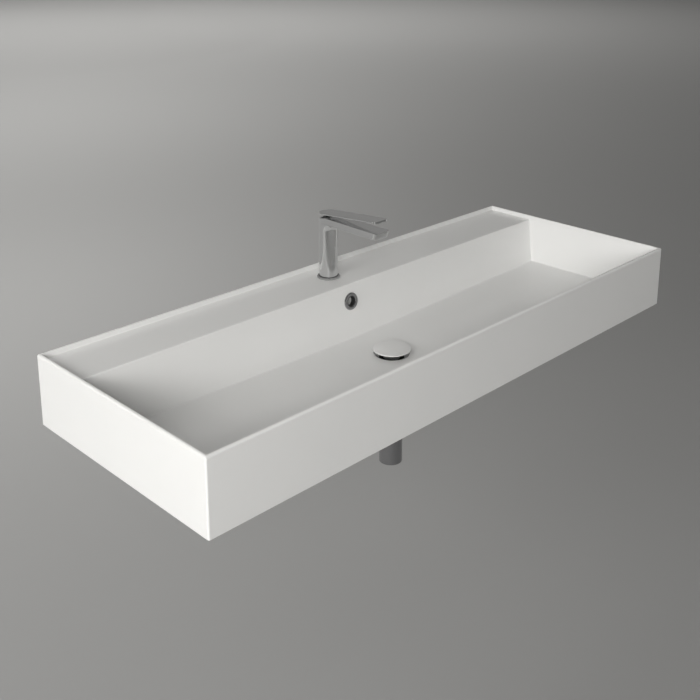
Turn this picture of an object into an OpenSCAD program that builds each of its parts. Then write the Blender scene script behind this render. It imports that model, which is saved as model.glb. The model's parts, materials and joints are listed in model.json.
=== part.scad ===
// Wall hung washbasin of glazed ceramic, with a single lever mixer tap and a push open waste.
// The origin lies midway between the two wall fixing holes, on the wall plane.
// X runs along the wall, Y points into the wall and Z points up. Sizes are in millimetres.

/* [Basin] */
// Width along the wall
basin_w = 1200; // [800:10:1400]
// Depth from the wall to the front face
basin_d = 450; // [420:5:520]
// Height of the rim above the wall fixing holes
rim_above_bolts = 70; // [62:1:76]
// Depth of the bowl from the rim to the floor at the waste
bowl_depth = 118.5; // [105:0.5:140]
// Thickness of the ceramic floor
floor_t = 7.5; // [6.5:0.5:12]
// Thickness of the rim
rim_t = 6; // [5:0.5:9]
// Thickness of the outer walls below the rim
skirt_t = 8; // [7:0.5:10]
// Thickness of the wall that is bolted to the room's wall
back_t = 12; // [9:0.5:16]
// Radius of the outer upright edges
edge_r = 3; // [1:0.5:5]
// How far the floor falls from each end to the waste
floor_fall = 10; // [4:0.5:12]
// How far the front and end walls of the bowl lean in at the floor
side_lean = 2; // [1:0.5:5]
// Radius between the bowl's floor and its walls
bowl_r = 3; // [2:0.5:10]

/* [Tap ledge] */
// Distance from the wall to the front edge of the tap ledge
ledge_d = 114; // [108:1:120]
// Depth of the ledge below the rim
ledge_drop = 10; // [6:0.5:14]
// Thickness of the ledge
ledge_t = 9; // [7:0.5:12]
// How far the bowl's back wall leans forward at the floor
back_lean = 13.5; // [5:0.5:18]
// Thickness of the bowl's back wall
bowl_wall_t = 9; // [7:0.5:11]

/* [Holes] */
// Distance between the two wall fixing holes
bolt_spacing = 280; // [200:5:400]
// Diameter of the wall fixing holes
bolt_hole_d = 20; // [14:0.5:24]
// Distance from the wall to the middle of the waste
waste_y = 228; // [205:1:250]
// Diameter of the waste hole
waste_hole_d = 46; // [44.5:0.5:48]
// Depth of the seat that the waste flange lies in
seat_drop = 5; // [4.8:0.1:6]
// Diameter of the ceramic boss under the waste
boss_d = 76; // [72:1:90]
// Distance from the wall to the axis of the tap
tap_y = 55.6; // [45:0.2:62]
// Diameter of the tap hole
tap_hole_d = 35; // [33.5:0.5:36]

/* [Overflow] */
// Depth of the overflow hole below the rim
overflow_drop = 45; // [38:1:60]
// Bore of the overflow ring
overflow_bore_d = 20; // [16:0.5:24]
// Diameter of the overflow ring's flange
overflow_ring_d = 35; // [32:0.5:40]
// Thickness of the overflow ring's flange
overflow_ring_t = 3; // [1.2:0.1:4]
// Wall of the overflow ring's sleeve
overflow_sleeve_t = 1.2; // [0.8:0.1:1.6]
// Length of the overflow ring's sleeve
overflow_sleeve_l = 9; // [5:0.5:11]
// Width of the overflow channel
channel_w = 24; // [18:1:30]
// Height of the overflow channel under the floor, and its depth behind the bowl
channel_t = 10; // [8:0.5:12]
// Thickness of the ceramic round the overflow channel
duct_t = 7; // [5:0.5:9]

/* [Waste fitting] */
// Outside diameter of the waste body and of the tail pipe
waste_d = 42; // [40:0.5:43]
// Wall of the waste body
waste_wall_t = 3; // [2.5:0.1:4]
// Length of the waste body below its flange
waste_l = 62; // [58:1:70]
// Diameter of the waste flange
flange_d = 64; // [60:0.5:66]
// Thickness of the waste flange
flange_t = 3; // [2:0.1:3.2]
// Thickness of the rubber ring under the flange
flange_gasket_t = 1.5; // [1:0.1:1.6]
// Width of each overflow slot in the waste body
slot_w = 14; // [8:0.5:18]
// Thickness of the rubber ring under the basin
under_gasket_t = 4; // [2:0.5:5]
// Thickness of the washer under that ring
waste_washer_t = 2; // [1:0.5:3]
// Height of the waste nut
waste_nut_h = 10; // [6:0.5:11]
// Width of the waste nut across its corners
waste_nut_d = 60; // [56:1:70]
// Outside diameter of the two rings under the basin
under_ring_d = 62; // [58:1:70]

/* [Tail pipe] */
// Length of the tail pipe below the end of the waste body
tail_l = 158; // [100:1:200]
// Outside diameter of the tail pipe
tail_d = 45; // [42:0.5:46]
// Bore of the tail pipe
tail_bore_d = 39; // [36:0.5:40]
// Wall of the socket that screws onto the waste body
socket_wall_t = 3.4; // [2.5:0.1:5]
// How far the socket reaches up the waste body
socket_grip = 16; // [10:0.5:17]
// Thickness of the ring that seals the socket
tail_gasket_t = 2; // [1:0.5:3]

/* [Plug] */
// Diameter of the plug's cap
cap_d = 72.5; // [68:0.5:84]
// Height of the cap's edge
cap_edge_h = 2.2; // [1.4:0.1:3]
// Height of the cap's dome above its edge
cap_crown = 2.6; // [2:0.1:5]
// Height of the open cap's edge above the floor
cap_lift = 8; // [6:0.1:9]
// Depth of the recess under the cap
cap_recess = 0.6; // [0.3:0.1:0.8]
// Thickness of the rubber seal under the cap
plug_seal_t = 1.8; // [1.4:0.1:2]
// Outside diameter of that seal
plug_seal_d = 48; // [46:0.5:54]
// Diameter of the plug's stem
stem_d = 8; // [6:0.5:8.5]
// Bore of the push mechanism's housing
click_bore_d = 10; // [9.5:0.5:10.5]
// Wall of that housing
click_wall_t = 2; // [1.5:0.1:2.2]
// Length of the housing below its collar
click_l = 21.5; // [18:0.5:25]
// Wire of the spring under the stem
spring_wire_d = 0.9; // [0.6:0.1:1]
// Turns of that spring
spring_turns = 4; // [3:1:4]

/* [Tap] */
// Diameter of the tap's column
column_d = 36.6; // [36:0.2:40]
// Height of the spout's underside above the ledge
spout_h = 113; // [90:1:140]
// Thickness of the spout
spout_t = 13; // [12:0.5:15]
// Distance from the tap's axis to the front of the spout
spout_l = 148.6; // [120:0.2:180]
// Width of the spout at its front
spout_w = 37.4; // [37:0.2:42]
// Radius of the spout's front corners
spout_corner_r = 8; // [3:0.5:10]
// How far the spout falls from back to front
spout_fall = 1; // [0:0.2:3]
// How far the spout's top falls away behind the lever's pivot
heel_drop = 5.4; // [4.5:0.1:6]
// Radius between the column and the spout's underside
crook_r = 14; // [12.5:0.5:20]
// Outside diameter of the base ring
base_ring_d = 46.8; // [44:0.2:52]
// Height of the base ring
base_ring_h = 3.7; // [3:0.1:5]
// Thickness of the rubber ring under the base ring
base_seal_t = 0.8; // [0.5:0.1:1.2]
// Diameter of the two threaded holes for the supply hoses
inlet_d = 10; // [9:0.5:10.5]
// Depth of those holes
inlet_depth = 15; // [10:1:20]
// Diameter of the waterways inside the tap
waterway_d = 6; // [4.5:0.5:6.5]
// Diameter of the aerator
aerator_d = 18.2; // [16:0.2:22]
// Distance from the spout's front to the middle of the aerator
aerator_back = 17; // [13:0.5:25]

/* [Lever] */
// Distance from the tap's axis to the front of the lever
lever_l = 143.4; // [118:0.2:175]
// Width of the lever
lever_w = 36.8; // [36:0.2:42]
// Radius of the lever's front corners
lever_corner_r = 7; // [3:0.5:10]
// Thickness of the lever
lever_t = 3; // [2.5:0.1:3.5]
// Upward slope of the closed lever, in degrees
lever_slope = 5.3; // [3:0.1:7]
// Height of the closed lever's underside above the pivot
lever_rise = 13.3; // [12.4:0.1:14]
// Height of the lip under the lever's front edge
lip_h = 1.5; // [0.5:0.1:3]
// Thickness of that lip
lip_t = 2.5; // [1.5:0.1:5]
// Diameter of the hub under the lever
hub_d = 10; // [9.6:0.1:10.4]
// Width of the square spindle
spindle_w = 5.9; // [5.5:0.1:6]
// Diameter of the pivot pin
pin_d = 3; // [2:0.1:3.2]

/* [Cartridge] */
// Diameter of the tap's bore for the cartridge
cartridge_bore_d = 28; // [27.6:0.2:28.6]
// Diameter of the cartridge
cartridge_d = 25; // [24.8:0.1:25.4]
// Diameter of the carrier that turns with the lever
carrier_d = 22.4; // [22:0.1:22.8]
// Thickness of each ceramic disc and of the cartridge's base
disc_t = 3; // [2.5:0.1:3]
// Diameter of the moving disc
moving_disc_d = 15.2; // [14:0.1:15.6]
// Depth of the lever's pivot below the spout's top
pivot_drop = 8; // [8:0.1:9]
// Diameter of the dark dome round the pivot
dome_d = 18.4; // [17.6:0.1:18.6]
// Thickness of the rubber rings under the cartridge
cartridge_seal_t = 1.3; // [1:0.1:1.6]

/* [Tap fixing] */
// Diameter of the fixing stud
stud_d = 8; // [6:0.5:8]
// Length of the stud below the ledge
stud_l = 26; // [22:1:60]
// Outside diameter of the horseshoe washer and its gasket
horseshoe_d = 44; // [42:1:50]
// Thickness of the horseshoe gasket
horseshoe_gasket_t = 2; // [1:0.5:3]
// Thickness of the horseshoe washer
horseshoe_t = 2; // [1.5:0.5:3]
// Height of the fixing nut
fixing_nut_h = 12; // [8:0.5:14]
// Width of the fixing nut across its corners
fixing_nut_d = 15; // [13:0.5:15.5]

/* [Hidden] */
$fn = 64;

// Clearance round a thread or a part that is pushed into its place
fit = 0.05;
// Clearance round a part that turns or slides in its bore
running = 0.1;
// Gap between soft or moving parts that nearly touch
near = 0.3;
// How far a cut runs past the face that it opens
past = 1;

// Heights of the basin
rim_z = rim_above_bolts;
ledge_z = rim_z - ledge_drop;
floor_z = rim_z - bowl_depth;
end_floor_z = floor_z + floor_fall;
bottom_z = floor_z - floor_t;
under_ledge_z = ledge_z - ledge_t;
duct_bottom_z = bottom_z - channel_t - duct_t;
overflow_z = rim_z - overflow_drop;

// The bowl's back wall
lean_angle = atan(back_lean / (ledge_z - floor_z));
function bowl_back_y(z) = -ledge_d - back_lean * (ledge_z - z) / (ledge_z - floor_z);
overflow_hole_d = overflow_bore_d + 2 * overflow_sleeve_t + 2 * fit;
channel_front_y = bowl_back_y(under_ledge_z) + bowl_wall_t;
channel_back_y = channel_front_y + channel_t;
duct_half_w = channel_w / 2 + duct_t;
duct_top_z = overflow_z + overflow_hole_d / 2 + duct_t;
overflow_hole_l = channel_back_y - bowl_back_y(overflow_z) - channel_t / 4;

// Heights of the waste fitting
seat_z = floor_z - seat_drop;
seat_d = flange_d + 3;
flange_under_z = seat_z + flange_gasket_t;
flange_top_z = flange_under_z + flange_t;
waste_end_z = flange_under_z - waste_l;
nut_top_z = duct_bottom_z - under_gasket_t - waste_washer_t;
waste_bore_d = waste_d - 2 * waste_wall_t;
tail_top_z = waste_end_z - tail_gasket_t;
tail_end_z = tail_top_z - tail_l;

// The spider that carries the push mechanism
spider_z = flange_top_z - 31;
spider_h = 8;
spider_hub_d = click_bore_d + 2 * click_wall_t + 5;
spider_arm_t = 3;
click_d = click_bore_d + 2 * click_wall_t;
click_collar_h = 3;
click_bottom_z = spider_z - click_l;
click_floor_z = click_bottom_z + 3;
click_nut_h = 4;
piston_h = 6;
piston_top_z = spider_z;
piston_d = click_bore_d - 2 * running;
spring_top_z = piston_top_z - piston_h;

// Heights of the plug
cap_edge_z = floor_z + cap_lift;
cap_under_z = cap_edge_z + cap_recess;
cap_top_z = cap_edge_z + cap_edge_h + cap_crown;
plug_boss_d = 12;
plug_boss_h = 4.5;
stem_thread_d = 5;

// Heights of the tap
ring_under_z = ledge_z + base_seal_t;
ring_web_t = 1.7;
foot_z = ring_under_z + ring_web_t;
spout_under_z = ledge_z + spout_h;
spout_top_z = spout_under_z + spout_t;
pivot_z = spout_top_z - pivot_drop;
heel_y = column_d / 2;
heel_z = spout_top_z + spout_fall / 2 - heel_drop;
heel_front_y = -cartridge_bore_d / 2;

// Heights of the cartridge
spindle_reach = 11;
moving_disc_z = pivot_z - spindle_reach - disc_t / 2;
fixed_disc_z = moving_disc_z - disc_t;
cartridge_base_z = fixed_disc_z - disc_t;
cartridge_floor_z = cartridge_base_z - cartridge_seal_t;
carrier_z = moving_disc_z + disc_t + near;
cartridge_top_z = pivot_z - 1.5;
cartridge_flange_h = 2.5;
cartridge_inner_d = carrier_d + 2 * running;
cartridge_nut_h = 5;
port_x = 7;
port_y = 4.5;
port_d = 4.8;
outlet_port_y = -5;
moving_disc_y = 2;
disc_web_t = 0.5;
disc_pocket_w = spindle_w - 0.5;
ball_d = spindle_w - 1.3;
ear_r = pin_d / 2 + 0.9;
ear_span = spindle_w + 0.5;

// The waterway rises from the cartridge's bore into the spout
rise_start = [-cartridge_bore_d / 2 + 2, cartridge_top_z - cartridge_flange_h - waterway_d / 2];
rise_end = [-cartridge_bore_d / 2 - 18, spout_under_z + spout_t / 2 - 0.2];
rise_angle = atan2(rise_end[1] - rise_start[1], rise_start[0] - rise_end[0]);
aerator_y = -spout_l + aerator_back;
aerator_h = 7.6;
aerator_lip = 0.6;
aerator_z = spout_under_z - spout_fall / 2;
aerator_gasket_t = 1.2;

// The lever, as heights above its pivot
lever_under_z = pivot_z + lever_rise;
function lever_z(y) = lever_under_z - y * tan(lever_slope);
lever_back_y = lever_w / 2;
lever_hub_z = pivot_z + 6;
screw_d = 3;

// The tap's fixing
stud_y = -12;
stud_in = 14;
horseshoe_cut_y = port_y + 2.5;
horseshoe_cut_d = 2 * port_x + inlet_d + 2.4;
horseshoe_z = under_ledge_z - horseshoe_gasket_t - horseshoe_t;

function unit(v) = v / norm(v);
function turn(a) = a > 180 ? a - 360 : a < -180 ? a + 360 : a;
// Points of an arc of radius r that rounds the corner between two neighbours
function rounded(before, corner, after, r, steps = 6) =
    let (u = unit(before - corner), w = unit(after - corner), half = acos(u * w) / 2)
    let (centre = corner + unit(u + w) * r / sin(half), reach = r / tan(half))
    let (start = corner + u * reach - centre, finish = corner + w * reach - centre)
    let (a = atan2(start[1], start[0]), sweep = turn(atan2(finish[1], finish[0]) - a))
    [for (i = [0:steps]) centre + r * [cos(a + sweep * i / steps), sin(a + sweep * i / steps)]];

// A rectangle with four round corners, from two opposite corners
module round_rectangle(low, high, r) {
    translate([low[0] + r, low[1]]) square([high[0] - low[0] - 2 * r, high[1] - low[1]]);
    translate([low[0], low[1] + r]) square([high[0] - low[0], high[1] - low[1] - 2 * r]);
    for (x = [low[0] + r, high[0] - r], y = [low[1] + r, high[1] - r]) translate([x, y]) circle(r);
}

// A profile drawn in Y and Z, carried along X over a width
module along_x(w) {
    rotate([90, 0, 90]) linear_extrude(height = w, center = true) children();
}

// A profile drawn in X and Z, carried away from the wall between two distances
module along_y(from, to) {
    translate([0, -from, 0]) rotate([90, 0, 0]) linear_extrude(height = to - from) children();
}

// A flat ring between two heights
module ring(outer_d, inner_d, low_z, high_z) {
    translate([0, 0, low_z]) difference() {
        cylinder(d = outer_d, h = high_z - low_z);
        translate([0, 0, -past]) cylinder(d = inner_d, h = high_z - low_z + 2 * past);
    }
}

// A round hole or rod between two heights
module rod(d, low_z, high_z) {
    translate([0, 0, low_z]) cylinder(d = d, h = high_z - low_z);
}

module at_waste() { translate([0, -waste_y, 0]) children(); }
module at_tap() { translate([0, -tap_y, 0]) children(); }

// Local Z points out of the bowl's back wall, at the middle of the overflow
module at_overflow() {
    translate([0, bowl_back_y(overflow_z), overflow_z]) rotate([90 - lean_angle, 0, 0]) children();
}

// The space inside the bowl: sloping walls, and a floor that falls to the waste
module bowl_space() {
    top = rim_z + past;
    inner_x = basin_w / 2 - rim_t;
    front_y = -(basin_d - rim_t);
    intersection() {
        along_x(basin_w) polygon(concat(
            [[-ledge_d, top], [-ledge_d, ledge_z]],
            rounded([-ledge_d, ledge_z], [-ledge_d - back_lean, floor_z],
                [front_y + side_lean, floor_z], bowl_r),
            rounded([-ledge_d, floor_z], [front_y + side_lean, floor_z],
                [front_y, rim_z], bowl_r),
            [[front_y, rim_z], [front_y, top]]));
        along_y(0, basin_d) polygon(concat(
            [[inner_x, top], [inner_x, rim_z]],
            rounded([inner_x, rim_z], [inner_x - side_lean, end_floor_z], [0, floor_z], bowl_r),
            [[0, floor_z]],
            rounded([0, floor_z], [side_lean - inner_x, end_floor_z], [-inner_x, rim_z], bowl_r),
            [[-inner_x, rim_z], [-inner_x, top]]));
    }
    translate([0, 0, ledge_z]) linear_extrude(height = ledge_drop + past)
        round_rectangle([-inner_x, front_y], [inner_x, -rim_t], edge_r);
}

// The open space under the tap ledge and the thin one under the falling floor
module under_space() {
    inner_x = basin_w / 2 - skirt_t;
    low = bottom_z - past;
    along_x(2 * inner_x) polygon([
        [-back_t, low], [-back_t, under_ledge_z],
        [bowl_back_y(under_ledge_z) + bowl_wall_t, under_ledge_z],
        [bowl_back_y(low) + bowl_wall_t, low]]);
    along_y(ledge_d + back_lean, basin_d - skirt_t) polygon([
        [-inner_x, low], [-inner_x, end_floor_z - floor_t], [0, bottom_z],
        [inner_x, end_floor_z - floor_t], [inner_x, low]]);
}

// Flat lands behind the bowl's back wall and under its floor, which the overflow duct is joined to
module duct_lands() {
    front_y = bowl_back_y(floor_z);
    translate([-duct_half_w, front_y, bottom_z])
        cube([2 * duct_half_w, channel_front_y - front_y, duct_top_z - bottom_z]);
    translate([-duct_half_w, -waste_y, bottom_z])
        cube([2 * duct_half_w, channel_front_y + waste_y, floor_t - past]);
    at_waste() rod(boss_d, bottom_z, floor_z - past);
}

module overflow_channel() {
    half_w = channel_w / 2;
    low = bottom_z - channel_t;
    translate([-half_w, channel_front_y, low])
        cube([channel_w, channel_t, overflow_z + overflow_hole_d / 2 - low]);
    translate([-half_w, -waste_y, low]) cube([channel_w, waste_y + channel_back_y, channel_t]);
}

module basin() {
    color("white") difference() {
        union() {
            difference() {
                translate([0, 0, bottom_z]) linear_extrude(height = rim_z - bottom_z)
                    round_rectangle([-basin_w / 2, -basin_d], [basin_w / 2, 0], edge_r);
                under_space();
            }
            duct_lands();
        }
        bowl_space();
        at_overflow() rod(overflow_hole_d, -overflow_hole_l, past);
        at_waste() rod(waste_hole_d, bottom_z - past, floor_z + past);
        at_waste() rod(seat_d, seat_z, floor_z + past);
        at_tap() rod(tap_hole_d, under_ledge_z - past, ledge_z + past);
        for (side = [-1, 1]) translate([side * bolt_spacing / 2, past, 0])
            rotate([90, 0, 0]) cylinder(d = bolt_hole_d, h = back_t + 2 * past);
    }
}

// Overflow duct with the waste boss, cast apart and joined to the bowl before firing
module overflow_duct() {
    color("white") difference() {
        union() {
            translate([-duct_half_w, channel_front_y, duct_bottom_z])
                cube([2 * duct_half_w, channel_t + duct_t, duct_top_z - duct_bottom_z]);
            translate([-duct_half_w, -waste_y, duct_bottom_z])
                cube([2 * duct_half_w, channel_front_y + waste_y, bottom_z - duct_bottom_z]);
            at_waste() rod(boss_d, duct_bottom_z, bottom_z);
        }
        overflow_channel();
        at_waste() rod(waste_hole_d, duct_bottom_z - past, bottom_z + past);
    }
}

module overflow_ring() {
    sleeve_d = overflow_bore_d + 2 * overflow_sleeve_t;
    edge = overflow_ring_t / 2;
    color("silver") at_overflow() rotate_extrude() polygon([
        [overflow_bore_d / 2, -overflow_sleeve_l], [sleeve_d / 2, -overflow_sleeve_l],
        [sleeve_d / 2, 0], [overflow_ring_d / 2, 0], [overflow_ring_d / 2, edge],
        [overflow_ring_d / 2 - edge, overflow_ring_t], [overflow_bore_d / 2 + edge, overflow_ring_t],
        [overflow_bore_d / 2, edge]]);
}

// Threaded tube with its flange, overflow slots and the spider for the push mechanism
module waste_body() {
    slot_z = bottom_z - channel_t / 2;
    color("silver") at_waste() {
        difference() {
            union() {
                rod(waste_d, waste_end_z, flange_under_z);
                rod(flange_d, flange_under_z, flange_top_z);
            }
            rod(waste_bore_d, waste_end_z - past, flange_top_z + past);
            for (a = [0, 90]) rotate([0, 0, a]) translate([0, 0, slot_z])
                cube([slot_w, 2 * waste_d, channel_t], center = true);
        }
        translate([0, 0, spider_z - spider_h]) difference() {
            union() {
                cylinder(d = spider_hub_d, h = spider_h);
                for (a = [90, 210, 330]) rotate([0, 0, a])
                    translate([0, -spider_arm_t / 2, 0])
                        cube([waste_bore_d / 2 + waste_wall_t / 2, spider_arm_t, spider_h]);
            }
            translate([0, 0, -past]) cylinder(d = click_d + 2 * fit, h = spider_h + 2 * past);
        }
    }
}

module flange_gasket() {
    color("dimgray") at_waste() ring(flange_d - 2, waste_hole_d, seat_z, flange_under_z);
}

module under_gasket() {
    color("dimgray") at_waste()
        ring(under_ring_d, waste_d + 2 * running, duct_bottom_z - under_gasket_t, duct_bottom_z);
}

module waste_washer() {
    color("gainsboro") at_waste() ring(under_ring_d, waste_d + 2 * running, nut_top_z,
        duct_bottom_z - under_gasket_t);
}

module waste_nut() {
    color("goldenrod") at_waste() difference() {
        translate([0, 0, nut_top_z - waste_nut_h]) cylinder(d = waste_nut_d, h = waste_nut_h, $fn = 6);
        rod(waste_d + 2 * fit, nut_top_z - waste_nut_h - past, nut_top_z + past);
    }
}

module tail_gasket() {
    color("dimgray") at_waste() ring(waste_d, waste_bore_d, tail_top_z, waste_end_z);
}

module tail_pipe() {
    socket_d = waste_d + 2 * fit + 2 * socket_wall_t;
    slope = socket_wall_t + fit;
    color("silver") at_waste() difference() {
        union() {
            rod(tail_d, tail_end_z, tail_top_z);
            rod(socket_d, tail_top_z - socket_wall_t, waste_end_z + socket_grip);
            translate([0, 0, tail_top_z - socket_wall_t - slope])
                cylinder(d1 = tail_d, d2 = socket_d, h = slope);
        }
        rod(waste_d + 2 * fit, tail_top_z, waste_end_z + socket_grip + past);
        rod(tail_bore_d, tail_end_z - past, tail_top_z + past);
    }
}

// Barrel of the push mechanism, seated on the spider by its collar
module click_housing() {
    color("gainsboro") at_waste() difference() {
        union() {
            rod(click_d, click_bottom_z, spider_z + click_collar_h);
            rod(spider_hub_d, spider_z, spider_z + click_collar_h);
        }
        rod(click_bore_d, click_floor_z, spider_z + click_collar_h + past);
    }
}

module click_nut() {
    low = spider_z - spider_h - click_nut_h;
    color("goldenrod") at_waste() difference() {
        translate([0, 0, low]) cylinder(d = spider_hub_d + 2, h = click_nut_h, $fn = 6);
        rod(click_d + 2 * fit, low - past, low + click_nut_h + past);
    }
}

// Points of one ring of the spring's wire, turned to its place on the helix
function wire_ring(t, coil_r, low, rise, sides) = [
    for (i = [0:sides - 1])
        let (r = coil_r + spring_wire_d / 2 * cos(360 * i / sides))
        [r * cos(t), r * sin(t), low + rise * t / 360 + spring_wire_d / 2 * sin(360 * i / sides)]
];

module click_spring() {
    sides = 6;
    per_turn = 12;
    count = spring_turns * per_turn;
    coil_r = click_bore_d / 2 - near - spring_wire_d / 2;
    low = click_floor_z + spring_wire_d / 2 + near;
    rise = (spring_top_z - near - spring_wire_d / 2 - low) / spring_turns;
    rings = [for (k = [0:count]) wire_ring(360 * k / per_turn, coil_r, low, rise, sides)];
    points = [for (one = rings, p = one) p];
    walls = [for (k = [0:count - 1], i = [0:sides - 1])
        let (j = (i + 1) % sides, a = k * sides, b = a + sides)
        each [[a + i, b + i, b + j], [a + i, b + j, a + j]]];
    first = [for (i = [0:sides - 1]) i];
    last = [for (i = [sides - 1:-1:0]) count * sides + i];
    color("silver") at_waste() polyhedron(points, concat(walls, [first, last]));
}

module plug_stem() {
    color("gainsboro") at_waste() {
        rod(piston_d, spring_top_z, piston_top_z);
        rod(stem_d, piston_top_z - past, cap_under_z - plug_boss_h);
        rod(stem_thread_d, piston_top_z, cap_under_z - 1);
    }
}

module plug_seal() {
    color("dimgray") at_waste()
        ring(plug_seal_d, waste_bore_d - 4, cap_under_z - plug_seal_t, cap_under_z);
}

// Shallow domed cap with a thin edge, and a threaded boss for the stem
module plug_cap() {
    steps = 12;
    r = cap_d / 2;
    crown = [for (i = [0:steps]) let (s = 1 - i / steps)
        [r * s, cap_edge_z + cap_edge_h + cap_crown * (1 - s * s)]];
    color("whitesmoke") at_waste() difference() {
        rotate_extrude($fn = 96) polygon(concat([
            [0, cap_under_z - plug_boss_h], [plug_boss_d / 2, cap_under_z - plug_boss_h],
            [plug_boss_d / 2, cap_under_z], [r - 2, cap_under_z], [r - 1.4, cap_edge_z],
            [r - 0.4, cap_edge_z], [r, cap_edge_z + 0.4]], crown));
        rod(stem_thread_d + 2 * fit, cap_under_z - plug_boss_h - past, cap_under_z - 1);
    }
}

// Plan of the spout: round heel, sides that widen a little, round front corners
module spout_plan() {
    corner_y = spout_corner_r - spout_l;
    circle(d = column_d);
    polygon([[-column_d / 2, 0], [-spout_w / 2, corner_y], [spout_w / 2, corner_y],
        [column_d / 2, 0]]);
    round_rectangle([-spout_w / 2, -spout_l], [spout_w / 2, corner_y + 2 * spout_corner_r],
        spout_corner_r);
}

// Side view of the spout: a bar that falls a little, and drops behind the pivot
module spout_side() {
    half_fall = spout_fall / 2;
    undercut = 3.5;
    polygon([
        [heel_y, spout_under_z + half_fall], [heel_y, heel_z],
        [heel_front_y, spout_top_z + half_fall], [-spout_l, spout_top_z - half_fall],
        [undercut - spout_l, spout_under_z - half_fall]]);
}

// The hollow corner between the column and the underside of the spout
module crook_side() {
    y = -column_d / 2;
    z = spout_under_z;
    difference() {
        polygon([[y + 6, z + 3], [y - crook_r, z + 3], [y - crook_r, z - crook_r], [y + 6, z - crook_r]]);
        translate([y - crook_r, z - crook_r]) circle(crook_r);
    }
}

module tap_body() {
    color("silver") at_tap() difference() {
        union() {
            rod(column_d, foot_z, spout_under_z + spout_t / 2);
            intersection() {
                linear_extrude(height = spout_top_z + past) spout_plan();
                along_x(2 * spout_w) spout_side();
            }
            intersection() {
                linear_extrude(height = spout_top_z) spout_plan();
                along_x(column_d * 0.72) crook_side();
            }
        }
        rod(cartridge_bore_d, cartridge_floor_z, spout_top_z + past + spout_fall);
        for (side = [-1, 1]) translate([side * port_x, port_y, 0]) {
            rod(inlet_d, foot_z - past, foot_z + inlet_depth);
            rod(port_d, foot_z, cartridge_floor_z + past);
        }
        translate([0, stud_y, 0]) rod(stud_d + 2 * fit, foot_z - past, foot_z + stud_in);
        translate([0, rise_start[0], rise_start[1]]) rotate([90 - rise_angle, 0, 0])
            cylinder(d = waterway_d, h = norm(rise_end - rise_start));
        translate([0, rise_end[0], rise_end[1]]) sphere(d = waterway_d + near);
        translate([0, rise_end[0], rise_end[1]]) rotate([90, 0, 0])
            cylinder(d = waterway_d, h = rise_end[0] - aerator_y);
        translate([0, aerator_y, 0]) rod(aerator_d + 2 * fit, aerator_z - 2 * past,
            aerator_z + aerator_h + aerator_gasket_t);
    }
}

module base_seal() {
    color("dimgray") at_tap() ring(base_ring_d - 1.6, tap_hole_d - 1, ledge_z, ring_under_z);
}

// Ring that carries the column, with a web under it and a hollow shoulder round it
module base_ring() {
    inner = column_d / 2 + fit;
    outer = base_ring_d / 2;
    top = ring_under_z + base_ring_h;
    web = tap_hole_d / 2 - 1;
    lip = 0.8;
    edge_z = ring_under_z + base_ring_h * 0.35;
    shoulder = rounded([outer, edge_z], [inner + lip, edge_z], [inner + lip, top], 2);
    color("silver") at_tap() rotate_extrude() polygon(concat(
        [[web, ring_under_z], [outer - 0.4, ring_under_z], [outer, ring_under_z + 0.4],
            [outer, edge_z - 0.4], [outer - 0.4, edge_z]],
        shoulder, [[inner + lip, top], [inner, top], [inner, foot_z], [web, foot_z]]));
}

module fixing_stud() {
    color("silver") at_tap() translate([0, stud_y, 0])
        rod(stud_d, under_ledge_z - stud_l, foot_z + stud_in);
}

// Horseshoe that bears under the ledge and leaves the hoses free
module horseshoe(low, high) {
    at_tap() difference() {
        rod(horseshoe_d, low, high);
        translate([0, horseshoe_cut_y, 0]) rod(horseshoe_cut_d, low - past, high + past);
        translate([-horseshoe_cut_d / 2, horseshoe_cut_y, low - past])
            cube([horseshoe_cut_d, horseshoe_d, high - low + 2 * past]);
        translate([0, stud_y, 0]) rod(stud_d + 4 * running, low - past, high + past);
    }
}

module fixing_gasket() {
    color("dimgray") horseshoe(under_ledge_z - horseshoe_gasket_t, under_ledge_z);
}

module fixing_washer() {
    color("silver") horseshoe(horseshoe_z, under_ledge_z - horseshoe_gasket_t);
}

module fixing_nut() {
    color("goldenrod") at_tap() translate([0, stud_y, 0]) difference() {
        translate([0, 0, horseshoe_z - fixing_nut_h])
            cylinder(d = fixing_nut_d, h = fixing_nut_h, $fn = 6);
        rod(stud_d + 2 * fit, horseshoe_z - fixing_nut_h - past, horseshoe_z + past);
    }
}

module at_aerator() { at_tap() translate([0, aerator_y, aerator_z]) children(); }

module aerator_gasket() {
    color("dimgray") at_aerator()
        ring(aerator_d - 0.4, aerator_d - 5, aerator_h, aerator_h + aerator_gasket_t);
}

module aerator_housing() {
    inner = aerator_d - 2.6;
    color("silver") at_aerator() difference() {
        rod(aerator_d, -aerator_lip, aerator_h);
        rod(inner, 1, aerator_h + past);
        rod(inner - 1.2, -2 * past, 2);
    }
}

// Perforated flow straightener
module aerator_insert() {
    pitch = 2;
    reach = (aerator_d - 2.6) / 2 - running;
    color("whitesmoke") at_aerator() difference() {
        rod(2 * reach, 1, 3);
        for (i = [-3:3], j = [-3:3])
            if (norm([i, j]) * pitch < reach - 1.2)
                translate([i * pitch - 0.6, j * pitch - 0.6, 0]) cube([1.2, 1.2, 4]);
    }
}

// Rings round the two inlets of the cartridge's base
module cartridge_seals() {
    color("dimgray") at_tap() for (side = [-1, 1]) translate([side * port_x, port_y, 0])
        ring(port_d + 2, port_d, cartridge_floor_z, cartridge_base_z);
}

// The three ports through the cartridge's base and the fixed disc
module ports(low, high) {
    for (side = [-1, 1]) translate([side * port_x, port_y, 0]) rod(port_d, low, high);
    translate([0, outlet_port_y, 0]) rod(port_d, low, high);
}

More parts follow.
